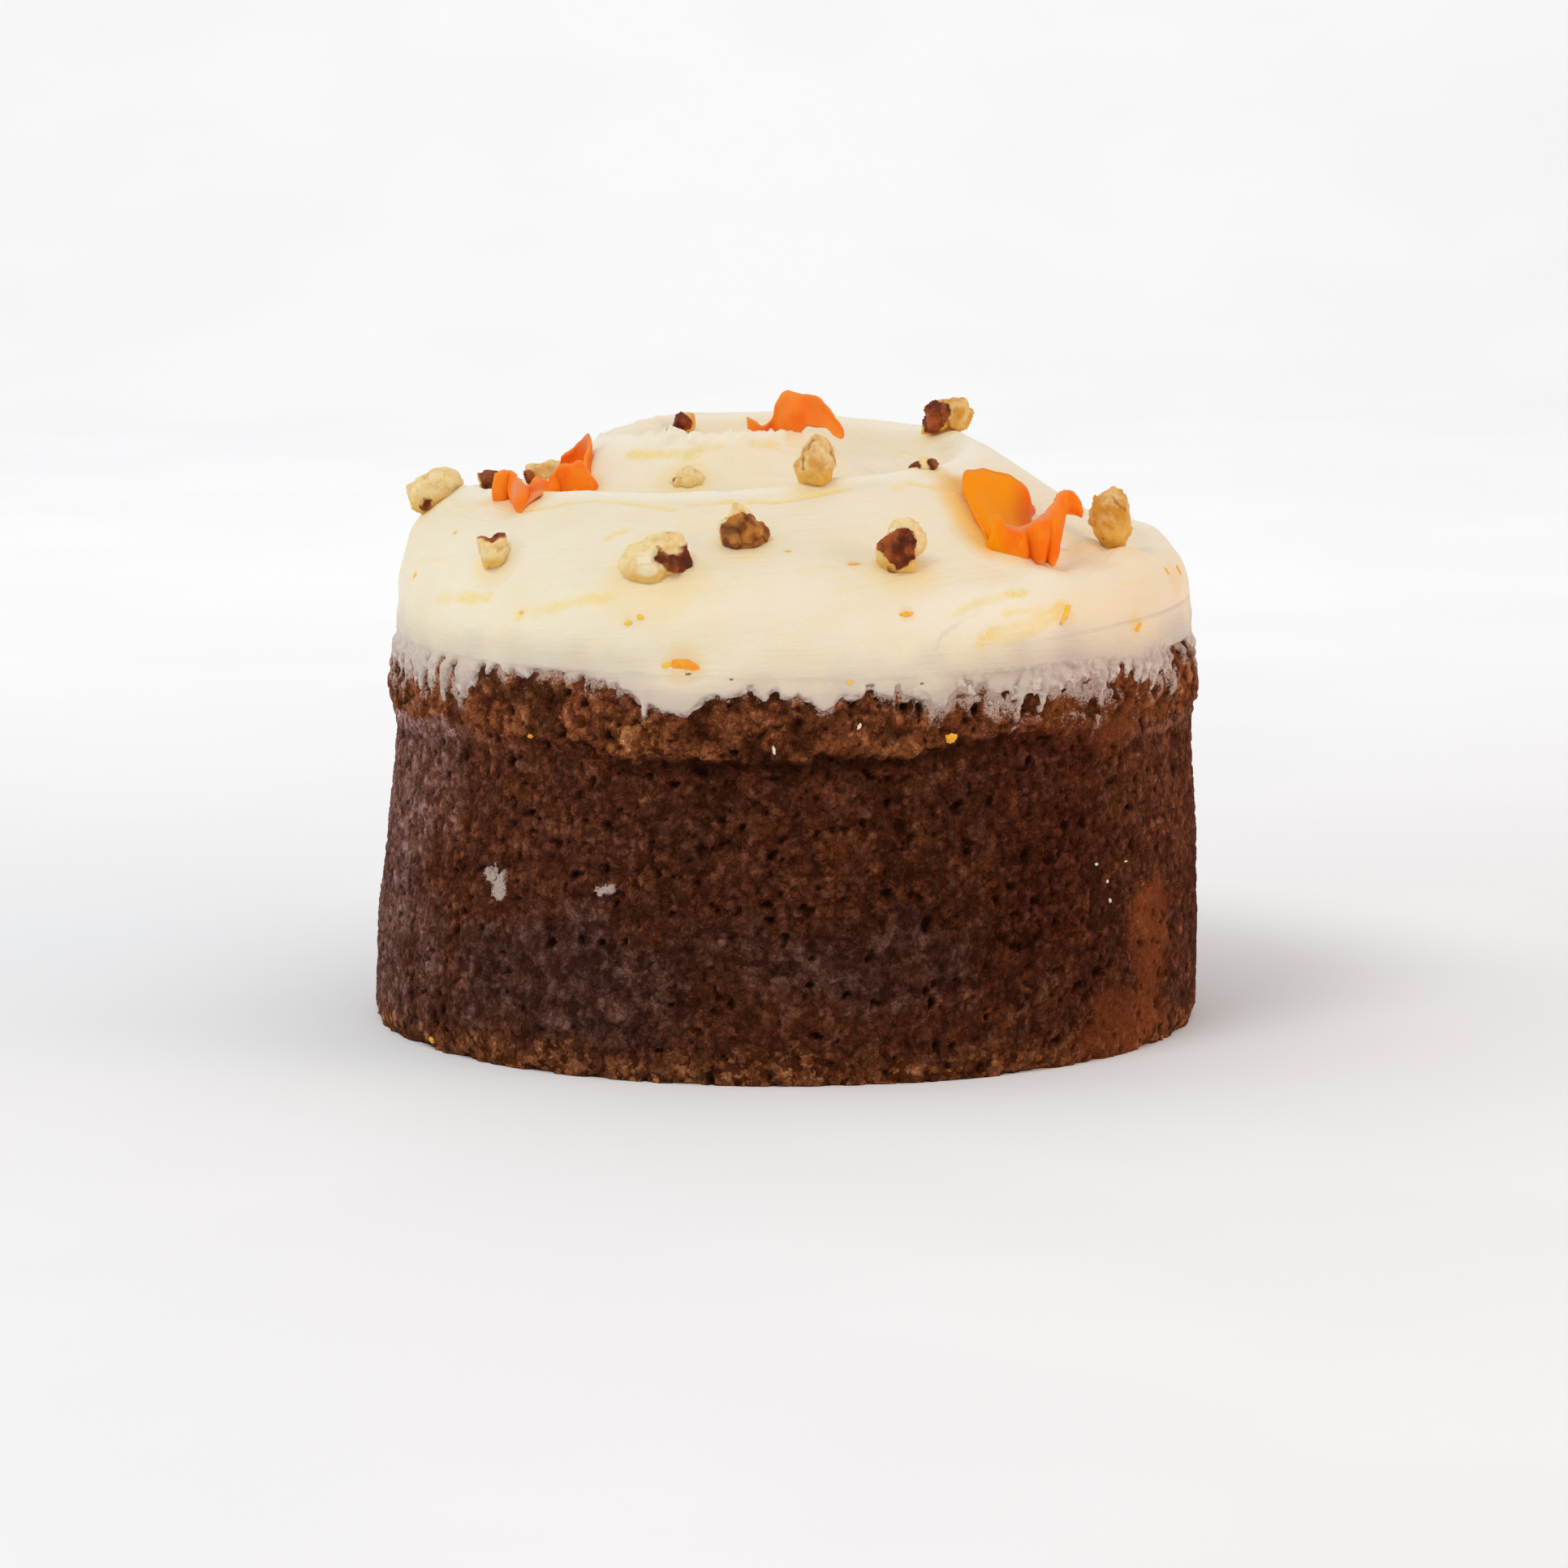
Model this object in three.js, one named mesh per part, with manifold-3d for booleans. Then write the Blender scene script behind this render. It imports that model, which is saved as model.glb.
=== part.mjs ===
// Carrot cake: one tall dark sponge with a torn crown above its tin crust, a thick
// swirl of cream cheese frosting, and walnut pieces and carrot ribbons pressed into it.
// Millimetres, +Z up. The cake stands on z = 0 and its front looks along -Y.

import * as THREE from "three";
import { mergeVertices } from "three/addons/utils/BufferGeometryUtils.js";
import Module from "manifold-3d";

const wasm = await Module();
wasm.setup();

// ---------------------------------------------------------------- driving sizes

const GAP = 0.3; // clearance kept between neighbouring pieces
const SLIVER = 0.02; // cuts leave no edges shorter than this
const SECTORS = 64; // facets round the cake
const LEAN = 1.6; // the crown sits this far to the right of the base
const LEAN_HEIGHT = 56; // the lean is complete at this height

// Sponge
const SPONGE_SIDE = [ // [height, radius] of the crusted side
  [0, 76.1],
  [18, 75.4],
  [36, 74.0],
  [52, 72.9],
  [58, 72.8],
];
const LEDGE_HEIGHT = 58; // the tin crust ends here and the torn crown begins
const LEDGE_STEP = 0.9; // the crown stands out this far
const CROWN_TAPER_START = 64;
const CROWN_TAPER = 0.35; // radius lost for each millimetre above that height
const RIM_HEIGHT = 71; // the crown starts to round over
const RIM_ROUND = { across: 9, up: 5.5 };
const DOME_RISE = 4.5; // from the rim to the middle of the sponge
const CRUMB_RELIEF = 0.34;
const BASE_UNDERCUT = { least: 0.5, most: 1.5, height: 1.8 };
const SIDE_RINGS = [0, 0.9, 2, 6, 12, 20, 28, 36, 44, 51, 55.5, 57.5, 59.5, 61.5, 64.5, 67.5, RIM_HEIGHT];
const RIM_RINGS = 3;
const DOME_RINGS = [0.72, 0.4]; // as shares of the rim's radius

// Frosting: the crest of the swirl as [distance from its middle, height] at every
// eighth of a turn, anticlockwise from the front, from the outer rim inwards.
const SWIRL_MIDDLE = { x: 0, y: 8 };
const SWIRL_CREST = [
  [84, 85.5], [74.6, 87.6], [69, 88.5], [62, 90.6], [57, 93], [57, 95], [61, 96.3], [46, 97.8],
  [38.3, 99.8], [38, 102.2], [33.5, 104.2], [33, 105], [30, 106.8], [29.5, 107.5], [34, 105.5], [26, 107.6],
  [13, 107.4], [10.5, 105.5], [6, 100.5], [6, 99.5], [6, 99.5],
];
const EIGHTHS = 8;
const OUTER_SPREAD = 3; // the swirl opens out by this much each eighth before its rim
const VALLEY_DEPTH = 4.6;
const VALLEY_SHARE = 0.16; // of the distance between two crests, where that is less
const FROSTING_RADIUS = 73.5;
const SHOULDER_IN = { mean: 14, swing: 3.5 }; // narrow on the right, broad on the left
const SHOULDER_DOWN = { mean: 12.5, swing: 3 };
const SHOULDER_POWER = 2.3;
const SHOULDER_TRIM = 1; // the shoulder meets the wall this far inside its full radius
const RIM_GROOVE = { inwards: 6, width: 4, depth: 2.2, start: 0.4, full: 1, fade: 2, end: 3 };
const UNDERSIDE = { radius: 62, height: 67 }; // hidden faces inside the sponge, cut away there
const WALL_RINGS = [0.35, 0.7];
const SHOULDER_RINGS = [1, 0.82, 0.64, 0.46, 0.26];
const TOP_RINGS = 13;
const SMEAR = { top: 71.5, topRadius: 72.95, footRadius: 73.9 }; // the frosting thins to it downwards
const LOWER_EDGE = [ // [degrees anticlockwise from the right, height] of the smear's lower edge
  [-178, 66], [-163, 67.4], [-150, 65.4], [-131, 69.4], [-116, 68], [-105, 64.8], [-93, 67.6],
  [-72, 66.8], [-60, 68.4], [-49, 69], [-33, 66.6], [-22, 68.8], [-5, 68.4], [12, 66.4],
  [30, 68.2], [52, 65.8], [70, 68], [88, 68.8], [104, 66.2], [121, 68.4], [140, 65.9], [160, 68.2],
];

// Walnut pieces: the spot they stand on, how far their middle is above the frosting
// there, and the knobs that stick out of that middle, each as [right, back, up].
const WALNUTS = {
  walnut_left_rim: {
    at: [-64.2, 1], lift: 3,
    knobs: [[-5.4, 0, 0.6], [-4.5, -1, -3.7], [-1.6, 0, -4.6], [2.5, 1, -1.8], [5.3, 0, 1.5], [4.2, 0, 3.9],
      [1.6, 0, 4.5], [-2.6, 1, 2.9], [0, -4, 0.6], [1, 4, 1]],
  },
  walnut_left_hollow: {
    at: [-52.8, 8], lift: 1.6,
    knobs: [[-4.2, 0, 2.3], [-1, 0, 2.6], [3.8, 0, 1], [2.6, 1, -2.2], [-2.2, -1, -2.4], [0, -2.6, 0],
      [0, 2.6, 0.5]],
  },
  walnut_behind_ribbon: {
    at: [-44.4, 5.5], lift: 1.4,
    knobs: [[-3.6, 0, 2], [-1, 0, 1.8], [3.6, 0, 2.6], [3.4, 0, -2], [-3.2, 0, -2], [0, -2.4, 0],
      [0.4, 3, 1]],
  },
  walnut_front_left: {
    at: [-51.9, -39.5], lift: 1.4,
    knobs: [[-2.9, 0, 2.9], [-0.6, 0.3, 2], [2.1, 0.4, 3.5], [3.3, 0, -0.4], [2.4, 0, -2.4],
      [-1.4, -0.6, -2.8], [-2.6, 0, 0.2], [0, -2.5, -0.4], [0, 2.6, 0.4]],
  },
  walnut_front_broad: {
    at: [-23, -59.8], lift: 2,
    knobs: [[-6.6, 0, -1], [-4.6, 0.6, 2.8], [-0.8, 1, 4.6], [5.1, 1, 5.4], [5.4, 0, 1.2], [7.4, -0.6, -0.3],
      [2.9, -0.6, -2.9], [-0.4, -1, -4.9], [-4, -0.6, -3.5], [-1, -3.8, -0.5], [0.6, 3.2, 0.6]],
  },
  walnut_front_middle: {
    at: [-7.5, -54], lift: 2.6,
    knobs: [[-1.4, 0.4, 5.2], [1.4, 0.4, 3.6], [-4.6, 0, 2.3], [-3.6, -0.4, -2.6], [-2, -0.6, -4],
      [3.4, -0.6, -3.9], [4.6, 0, -0.8], [3.5, 0, 1.8], [0.4, -3.6, 0], [0, 3.3, 0.6]],
  },
  walnut_behind_crest: {
    at: [-17.5, -17.9], lift: 0.3,
    knobs: [[-3.9, 0, -1.2], [-2, 0, 1.4], [-0.1, 0, 2.8], [4.1, 0, -0.4], [0, -2.4, -1], [0, 2.4, 0],
      [0, 0, -2.6]],
  },
  walnut_top_left: {
    at: [-18.9, 24], lift: 1.4,
    knobs: [[-1.6, 0, 1.4], [-0.6, 0, 2], [1.9, 0, 1.8], [2.1, 0, -1.4], [-2, 0, -1.9], [0, -2, 0],
      [0, 2, 0]],
  },
  walnut_upright: {
    at: [5.1, -30.2], lift: 4.1,
    knobs: [[0.2, 0, 5.5], [2.6, 0, 4.8], [3.5, 0, 2.6], [3.9, 0, -0.6], [2.4, 0, -4.7], [-2.4, 0, -4],
      [-3.9, 0, -0.4], [-2.3, 0, 2.6], [-0.4, -3.2, -0.6], [0.6, 3.1, 0.6]],
  },
  walnut_front_right: {
    at: [20, -59.3], lift: 3.9,
    knobs: [[1.5, 1.8, 5.1], [4.4, 1.6, 2.9], [4.6, 1, 0.2], [-3.6, -0.8, 2.3], [-1.4, 0.8, 4.2],
      [-4.2, -1.2, -2.6], [-2.2, -1, -5.6], [2.3, -1, -5.3], [2.6, -2, -2.2], [-0.4, -3.6, 0.2],
      [0.6, 3.4, 1]],
  },
  walnut_right_hollow: {
    at: [24.7, -20], lift: 0.6,
    knobs: [[-3.2, 0, -1.2], [-0.6, 0, 1.9], [1.2, 0, 2], [3.1, 0, 0.6], [1.2, 0, -2.4], [-1.6, 0, -2.4],
      [0, -2.3, 0], [0, 2.4, 0]],
  },
  walnut_back_ridge: {
    at: [30.1, 21], lift: 3.2,
    knobs: [[-4.7, 0, -3.2], [-4.2, 0, 1.8], [-1, 0, 3.3], [3.6, 0, 3.5], [5.1, 0, 0.8], [3.8, 0, -2.2],
      [-0.6, 0, -3.4], [-0.6, -3.2, 0], [0.6, 3.3, 0.4]],
  },
  walnut_right_rim: {
    at: [58.3, -25.7], lift: 7.1,
    knobs: [[-3.3, 0, 3.9], [1, 0, 5.7], [2.2, 0, 4.9], [3.6, 0, 0], [4.2, 0, -2.6], [1, -0.4, -6],
      [0.6, 1, -8.2], [-2.2, 0, -3.4], [-4, 0, -1], [0.2, -3.2, 0], [0.4, 3.2, 0]],
  },
  walnut_back_left: {
    at: [-33, 50], lift: 2.1,
    knobs: [[-4.8, 0.6, 0.6], [-1.6, -0.6, 3], [2.4, 0, 3.4], [4.6, -0.4, -0.6], [1.6, 1, -3],
      [-2.6, 0, -2.8], [0, -4, 0.4], [0.6, 3.8, 0.8]],
  },
  walnut_back_middle: {
    at: [-8, 61], lift: 1.9,
    knobs: [[-3.8, 0, 1.6], [0.4, 0, 3.2], [3.6, 0.8, 1.8], [3, -0.6, -2.4], [-2.6, 0.4, -2.6],
      [0.4, -3.4, 0.4], [-0.4, 3.6, -0.2]],
  },
  walnut_back_right: {
    at: [33, 52], lift: 2.1,
    knobs: [[-4.2, 1, -1.2], [-3, 0, 3], [1.6, -0.8, 4], [4.4, 0, 1.2], [3, 0.6, -2.8], [-1, 0, -3.2],
      [0.6, -3.4, 0], [-0.6, 3.8, 0.6]],
  },
};
const KNOB_BLEND = 12; // how crisply one knob gives way to the next
const WALNUT_DETAIL = { small: 1, large: 2 };
const LARGE_REACH = 4.3; // a piece with a longer knob than this is a large one

// Carrot ribbons: thin peelings that stand on edge. The foot is a point on the cake, and
// the stations are the lower and upper edge along the ribbon, from that foot. The cup is
// how far the ribbon bulges between its edges.
const RIBBON_THICKNESS = 1.0;
const RIBBON_STEPS = 2; // rows between two stations
const RIBBON_BANDS = 2; // bands from the lower edge to the upper one
const RIBBONS = {
  carrot_ribbon_left: {
    foot: [-44, -16, 97], cup: 0.6,
    stations: [
      [[-8.7, 1, -1.7], [-8.6, 1, 3.8]], [[-7.1, -0.3, -1.1], [-7, 0, 4.6]],
      [[-5.7, 1, -0.8], [-5.5, 0.5, 4.4]], [[-5, -3.5, -1.2], [-4.4, -1.5, 3.6]],
      [[-3.7, -9.5, -2.3], [-3.6, -3.5, 2.8]], [[-2.3, -7, -0.7], [-2.6, 1, 1.7]],
      [[-0.5, -5, 0.4], [-1, 4.5, 2.8]], [[1.2, -0.5, -0.1], [1, 6.5, 1.7]],
      [[2.4, 6.5, -1.4], [2.5, 7, 4.2]], [[3.5, 6.5, -0.9], [3.4, 6.5, 5]],
      [[5.3, 5.5, -0.7], [5.3, 6, 5.3]], [[7.2, 4.2, -0.6], [7.1, 5.5, 5.7]],
      [[9, 3.5, -0.3], [9, 5, 2.2]], [[7.9, 8, 0.7], [7.3, 9, 4]], [[7.2, 12, 2], [7.8, 12.5, 7.2]],
      [[6.5, 13.5, 2.2], [8, 14, 9.8]], [[4.1, 14, 0.9], [5.2, 14.5, 7.3]],
      [[3, 13, 0], [3, 13.5, 5.8]],
    ],
  },
  carrot_ribbon_top: {
    foot: [1, -4, 107], cup: -0.8,
    stations: [
      [[-8.4, 4, -5.1], [-8, 4, 2.7]], [[-6.6, 3, -4.2], [-6.6, 3.5, 2.1]],
      [[-5, 4, -4.3], [-5.1, 4, 1.1]], [[-3.6, 5, -4.6], [-3.5, 5, 2.3]],
      [[-2, 2, -2.1], [-2.3, 5, 6.1]], [[-0.4, 0, -1.3], [-0.7, 5, 7.5]],
      [[1.3, 2.5, -0.5], [1.4, 6, 6.8]], [[2.8, 5, 0.8], [3.4, 7, 6.5]],
      [[4.5, 4.5, 0.7], [5.1, 6.5, 6.2]], [[6.5, 3, 0.7], [6.8, 5, 4.5]],
      [[7.9, 1, -0.5], [8.4, 2.5, 2.5]], [[9, -0.5, -0.9], [9.6, 0.5, 0.8]],
    ],
  },
  carrot_ribbon_right: {
    foot: [41, -36, 93], cup: 0.7,
    stations: [
      [[3.6, 7, 0.3], [3.3, 10, 2.6]], [[2.6, 3.5, -0.2], [2.9, 13.5, 4.7]],
      [[0.6, 0.5, -0.6], [1.2, 15, 7.1]], [[-1.2, -2, -0.6], [-2.4, 15, 8.7]],
      [[-2.4, -3.5, -0.1], [-6.1, 14, 9.4]], [[-3.6, -5, 0.6], [-8.9, 11.5, 9]],
      [[-3.8, -7, 0.1], [-9.2, 6, 6.1]], [[-3.6, -9.2, -1.5], [-7.1, -2.5, 2.4]],
      [[-3.4, -10.8, -2.7], [-5.2, -9, -0.9]], [[-2.8, -11.2, -3.7], [-4, -8.3, 3.6]],
      [[-0.8, -11.4, -4.3], [-2.2, -8.6, 2]], [[0.9, -10.8, -4.6], [-0.2, -9, 1.5]],
      [[2.3, -8.5, -5], [1.6, -8.5, 1.9]], [[3.8, -11, -4.9], [3.3, -8.5, 3]],
      [[5.2, -8.5, -5], [4.9, -6, 3.9]], [[6.4, -10, -5.3], [6.4, -2, 5.1]],
      [[7.3, -2, -2], [7.6, 2.5, 6.3]], [[8.1, 5, 1.7], [9.5, 6, 6.5]],
      [[10.4, 7, 1.9], [11.4, 7, 5.1]], [[12, 7, 1.3], [12.3, 7, 2.5]],
    ],
  },
  carrot_ribbon_back: {
    foot: [12, 58, 91.6], cup: 0.7,
    stations: [
      [[-9, 1, -1], [-8.6, 0.4, 3.6]], [[-6.4, -1.6, -1], [-6.6, -1, 4.8]],
      [[-4, 0.6, -1.2], [-4.2, 1, 4.2]], [[-1.6, 2, -1.4], [-1.8, 2.6, 3]],
      [[1, 0, -1.2], [0.8, 0.4, 4.4]], [[3.4, -2.2, -1], [3.4, -2.4, 5.6]],
      [[6, -0.6, -1.2], [6.2, -1, 4.6]], [[8.4, 1.8, -1.4], [8.6, 2.2, 2.2]],
    ],
  },
};

// Colours
const SPONGE_COLOUR = 0x55301f;
const FROSTING_COLOUR = 0xf3e6c6;
const WALNUT_COLOUR = 0xcaa66c;
const CARROT_COLOUR = 0xf0741c;

// ---------------------------------------------------------------- small helpers

const TURN = Math.PI * 2;

function clamp01(value) {
  return Math.min(1, Math.max(0, value));
}

function smoothStep(from, to, value) {
  const t = clamp01((value - from) / (to - from));
  return t * t * (3 - 2 * t);
}

function mix(from, to, share) {
  return from + (to - from) * share;
}

// Straight lines through a list of [position, value].
function through(list, position) {
  if (position <= list[0][0]) {
    return list[0][1];
  }
  for (let i = 1; i < list.length; i += 1) {
    const [start, startValue] = list[i - 1];
    const [end, endValue] = list[i];
    if (position <= end) {
      return mix(startValue, endValue, (position - start) / (end - start));
    }
  }
  return list[list.length - 1][1];
}

// Smooth waves through a list of [degrees, value] that closes on itself.
function around(list, degrees) {
  for (let i = 0; i < list.length; i += 1) {
    const [start, startValue] = list[i];
    const next = list[(i + 1) % list.length];
    const end = i + 1 < list.length ? next[0] : next[0] + 360;
    const position = degrees < list[0][0] ? degrees + 360 : degrees;
    if (position >= start && position <= end) {
      return mix(startValue, next[1], smoothStep(start, end, position));
    }
  }
  return list[0][1];
}

// Catmull-Rom curve through evenly spaced values.
function curveThrough(values, position) {
  const last = values.length - 1;
  const inside = Math.min(Math.max(position, 0), last - 1e-9);
  const i = Math.floor(inside);
  const t = inside - i;
  const value = (k) => values[Math.min(Math.max(k, 0), last)];
  const [a, b, c, d] = [value(i - 1), value(i), value(i + 1), value(i + 2)];
  const bend = (2 * a - 5 * b + 4 * c - d) * t ** 2 + (3 * b - a - 3 * c + d) * t ** 3;
  return b + ((c - a) * t + bend) / 2;
}

function geometryFrom(points, triangles) {
  const geometry = new THREE.BufferGeometry();
  geometry.setAttribute("position", new THREE.Float32BufferAttribute(points.flat(), 3));
  geometry.setIndex(triangles.flat());
  return geometry;
}

// A closed skin over rings of points, from a single bottom point up to a single top point.
function skinOver(bottom, rings, top) {
  const count = rings[0].length;
  const points = [bottom, ...rings.flat(), top];
  const topIndex = points.length - 1;
  const triangles = [];
  const at = (ring, i) => 1 + ring * count + (i % count);
  for (let i = 0; i < count; i += 1) {
    triangles.push([0, at(0, i + 1), at(0, i)]);
    for (let ring = 1; ring < rings.length; ring += 1) {
      triangles.push([at(ring - 1, i), at(ring - 1, i + 1), at(ring, i + 1)]);
      triangles.push([at(ring - 1, i), at(ring, i + 1), at(ring, i)]);
    }
    triangles.push([topIndex, at(rings.length - 1, i), at(rings.length - 1, i + 1)]);
  }
  return geometryFrom(points, triangles);
}

function ringOf(pointAt) {
  return Array.from({ length: SECTORS }, (_, i) => pointAt((i / SECTORS) * TURN));
}

function steps(from, to, count) {
  return Array.from({ length: count }, (_, i) => mix(from, to, (i + 1) / count));
}

// ---------------------------------------------------------------- manifold joins

function solidFrom(geometry) {
  const bare = geometry.clone();
  bare.deleteAttribute("normal");
  bare.deleteAttribute("uv");
  const merged = mergeVertices(bare, 1e-4);
  const mesh = new wasm.Mesh({
    numProp: 3,
    vertProperties: new Float32Array(merged.attributes.position.array),
    triVerts: new Uint32Array(merged.index.array),
  });
  return new wasm.Manifold(mesh);
}

function geometryOf(solid) {
  const mesh = solid.getMesh();
  const geometry = new THREE.BufferGeometry();
  geometry.setAttribute("position", new THREE.BufferAttribute(new Float32Array(mesh.vertProperties), 3));
  geometry.setIndex(new THREE.BufferAttribute(new Uint32Array(mesh.triVerts), 1));
  return geometry;
}

// The largest body of a solid, without slivers and without crumbs that the cuts leave loose.
function mainBody(solid) {
  const [body] = solid.simplify(SLIVER).decompose().sort((a, b) => b.volume() - a.volume());
  return body;
}

// ---------------------------------------------------------------- sponge

function leanAt(height) {
  return LEAN * smoothStep(0, LEAN_HEIGHT, height);
}

// Slow unevenness of the crust, about one part in two hundred of the radius.
function crumbRelief(angle, height) {
  const slow = Math.sin(5 * angle + 0.07 * height + 0.4) * 0.45;
  const middle = Math.sin(11 * angle - 0.16 * height + 1.7) * 0.35;
  const quick = Math.sin(19 * angle + 0.33 * height + 4.1) * 0.2;
  return CRUMB_RELIEF * (slow + middle + quick);
}

function spongeRadius(angle, height) {
  const crusted = through(SPONGE_SIDE, height);
  const ledge = LEDGE_HEIGHT + 0.9 * Math.sin(3 * angle + 0.6) + 0.6 * Math.sin(7 * angle);
  const crown = LEDGE_STEP * smoothStep(ledge - 0.8, ledge + 1.6, height);
  const taper = CROWN_TAPER * Math.max(0, height - CROWN_TAPER_START);
  const waves = 0.5 + 0.5 * Math.sin(4 * angle + 2.2) * Math.sin(9 * angle);
  const hollow = mix(BASE_UNDERCUT.least, BASE_UNDERCUT.most, waves);
  const undercut = hollow * (1 - smoothStep(0, BASE_UNDERCUT.height, height));
  return crusted + crown - taper - undercut + crumbRelief(angle, height);
}

// The sponge, grown outwards by a margin where a neighbour has to clear it.
function spongeGeometry(margin) {
  const rings = SIDE_RINGS.map((height) => ringOf((angle) => {
    const radius = spongeRadius(angle, height) + margin;
    const x = radius * Math.cos(angle) + leanAt(height);
    return [x, radius * Math.sin(angle), height > 0 ? height : -margin];
  }));
  const rim = (angle) => spongeRadius(angle, RIM_HEIGHT) - RIM_ROUND.across;
  for (const share of steps(0, 1, RIM_RINGS)) {
    const turn = (share * Math.PI) / 2;
    const height = RIM_HEIGHT + (RIM_ROUND.up + margin) * Math.sin(turn);
    rings.push(ringOf((angle) => {
      const radius = rim(angle) + (RIM_ROUND.across + margin) * Math.cos(turn);
      return [radius * Math.cos(angle) + LEAN, radius * Math.sin(angle), height];
    }));
  }
  const domeFoot = RIM_HEIGHT + RIM_ROUND.up + margin;
  for (const share of DOME_RINGS) {
    rings.push(ringOf((angle) => {
      const radius = rim(angle) * share;
      const height = domeFoot + DOME_RISE * (1 - share * share);
      return [radius * Math.cos(angle) + LEAN, radius * Math.sin(angle), height];
    }));
  }
  return skinOver([0, 0, -margin], rings, [LEAN, 0, domeFoot + DOME_RISE]);
}

// ---------------------------------------------------------------- frosting

function crestAt(eighth) {
  const last = SWIRL_CREST.length - 1;
  if (eighth < 0) {
    return { radius: SWIRL_CREST[0][0] - OUTER_SPREAD * eighth, height: SWIRL_CREST[0][1] };
  }
  if (eighth > last) {
    return { radius: 0, height: SWIRL_CREST[last][1] };
  }
  return {
    radius: curveThrough(SWIRL_CREST.map((crest) => crest[0]), eighth),
    height: curveThrough(SWIRL_CREST.map((crest) => crest[1]), eighth),
  };
}

// The narrow groove that the knife left just inside the rim where the swirl begins.
function rimGroove(eighth, inwards) {
  const { start, full, fade, end, depth, width } = RIM_GROOVE;
  const strength = smoothStep(start, full, eighth) * (1 - smoothStep(fade, end, eighth));
  return depth * strength * Math.exp(-(((inwards - RIM_GROOVE.inwards) / width) ** 2));
}

// Height of the swirled top: crests joined by valleys, all winding inwards.
function swirlHeight(x, y) {
  const dx = x - SWIRL_MIDDLE.x;
  const dy = y - SWIRL_MIDDLE.y;
  const distance = Math.hypot(dx, dy);
  const eighth = (((Math.atan2(dy, dx) + TURN / 4 + TURN) % TURN) / TURN) * EIGHTHS;
  for (const turn of [-1, 0, 1, 2]) {
    const outerEighth = eighth + turn * EIGHTHS;
    const outer = crestAt(outerEighth);
    const inner = crestAt(outerEighth + EIGHTHS);
    if (distance < outer.radius && distance >= inner.radius) {
      const gap = outer.radius - inner.radius;
      const share = (distance - inner.radius) / gap;
      const eased = share ** (1 - 0.35 * smoothStep(4, 6, outerEighth));
      const slope = 0.6 * eased * eased * (3 - 2 * eased) + 0.4 * eased;
      const dip = Math.hypot(Math.sin(Math.PI * share ** 1.1), Math.sqrt(0.03)) - Math.sqrt(0.03);
      const strength = smoothStep(0.6, 3, outerEighth) * (1 - 0.6 * smoothStep(13, 16, outerEighth));
      const depth = Math.min(VALLEY_SHARE * gap, VALLEY_DEPTH) * strength;
      const groove = rimGroove(outerEighth, outer.radius - distance);
      return mix(inner.height, outer.height, slope) - depth * dip - groove;
    }
  }
  return SWIRL_CREST[SWIRL_CREST.length - 1][1];
}

function shoulderAt(angle) {
  return {
    across: SHOULDER_IN.mean - SHOULDER_IN.swing * Math.cos(angle),
    down: SHOULDER_DOWN.mean - SHOULDER_DOWN.swing * Math.cos(angle),
  };
}

// Height of the frosting's top face, its rounded shoulder included.
function frostingTop(x, y) {
  const { across, down } = shoulderAt(Math.atan2(y, x - LEAN));
  const outwards = Math.hypot(x - LEAN, y) - (FROSTING_RADIUS - across);
  const share = clamp01(outwards / (across - SHOULDER_TRIM));
  return swirlHeight(x, y) - down * (1 - (1 - share ** SHOULDER_POWER) ** (1 / SHOULDER_POWER));
}

function frostingPoint(angle, radius, drop) {
  const x = radius * Math.cos(angle) + LEAN;
  const y = radius * Math.sin(angle);
  return [x, y, swirlHeight(x, y) - drop];
}

function shoulderPoint(angle, share) {
  const { across, down } = shoulderAt(angle);
  const turn = (share * Math.PI) / 2;
  const out = (across - SHOULDER_TRIM) * Math.sin(turn) ** (2 / SHOULDER_POWER);
  const drop = down * (1 - Math.cos(turn) ** (2 / SHOULDER_POWER));
  return frostingPoint(angle, FROSTING_RADIUS - across + out, drop);
}

function lowerEdge(angle) {
  const degrees = (angle / TURN) * 360;
  return around(LOWER_EDGE, degrees > 180 ? degrees - 360 : degrees);
}

// The frosting before the sponge and the toppings are taken out of it.
function frostingBlank() {
  const wallFoot = (angle) => {
    const radius = SMEAR.topRadius;
    return [radius * Math.cos(angle) + LEAN, radius * Math.sin(angle), SMEAR.top];
  };
  const onEdge = (radius) => ringOf((angle) => (
    [radius * Math.cos(angle) + LEAN, radius * Math.sin(angle), lowerEdge(angle)]));
  const rings = [onEdge(UNDERSIDE.radius), onEdge(SMEAR.footRadius), ringOf(wallFoot)];
  for (const share of WALL_RINGS) {
    rings.push(ringOf((angle) => {
      const foot = wallFoot(angle);
      const head = shoulderPoint(angle, 1);
      return foot.map((value, axis) => mix(value, head[axis], share));
    }));
  }
  for (const share of SHOULDER_RINGS) {
    rings.push(ringOf((angle) => shoulderPoint(angle, share)));
  }
  for (let ring = TOP_RINGS; ring > 0; ring -= 1) {
    const share = ring / TOP_RINGS;
    rings.push(ringOf((angle) => (
      frostingPoint(angle, (FROSTING_RADIUS - shoulderAt(angle).across) * share, 0))));
  }
  const middle = [LEAN, 0, swirlHeight(LEAN, 0)];
  return skinOver([LEAN, 0, UNDERSIDE.height], rings, middle);
}

// ---------------------------------------------------------------- walnut pieces

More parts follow.
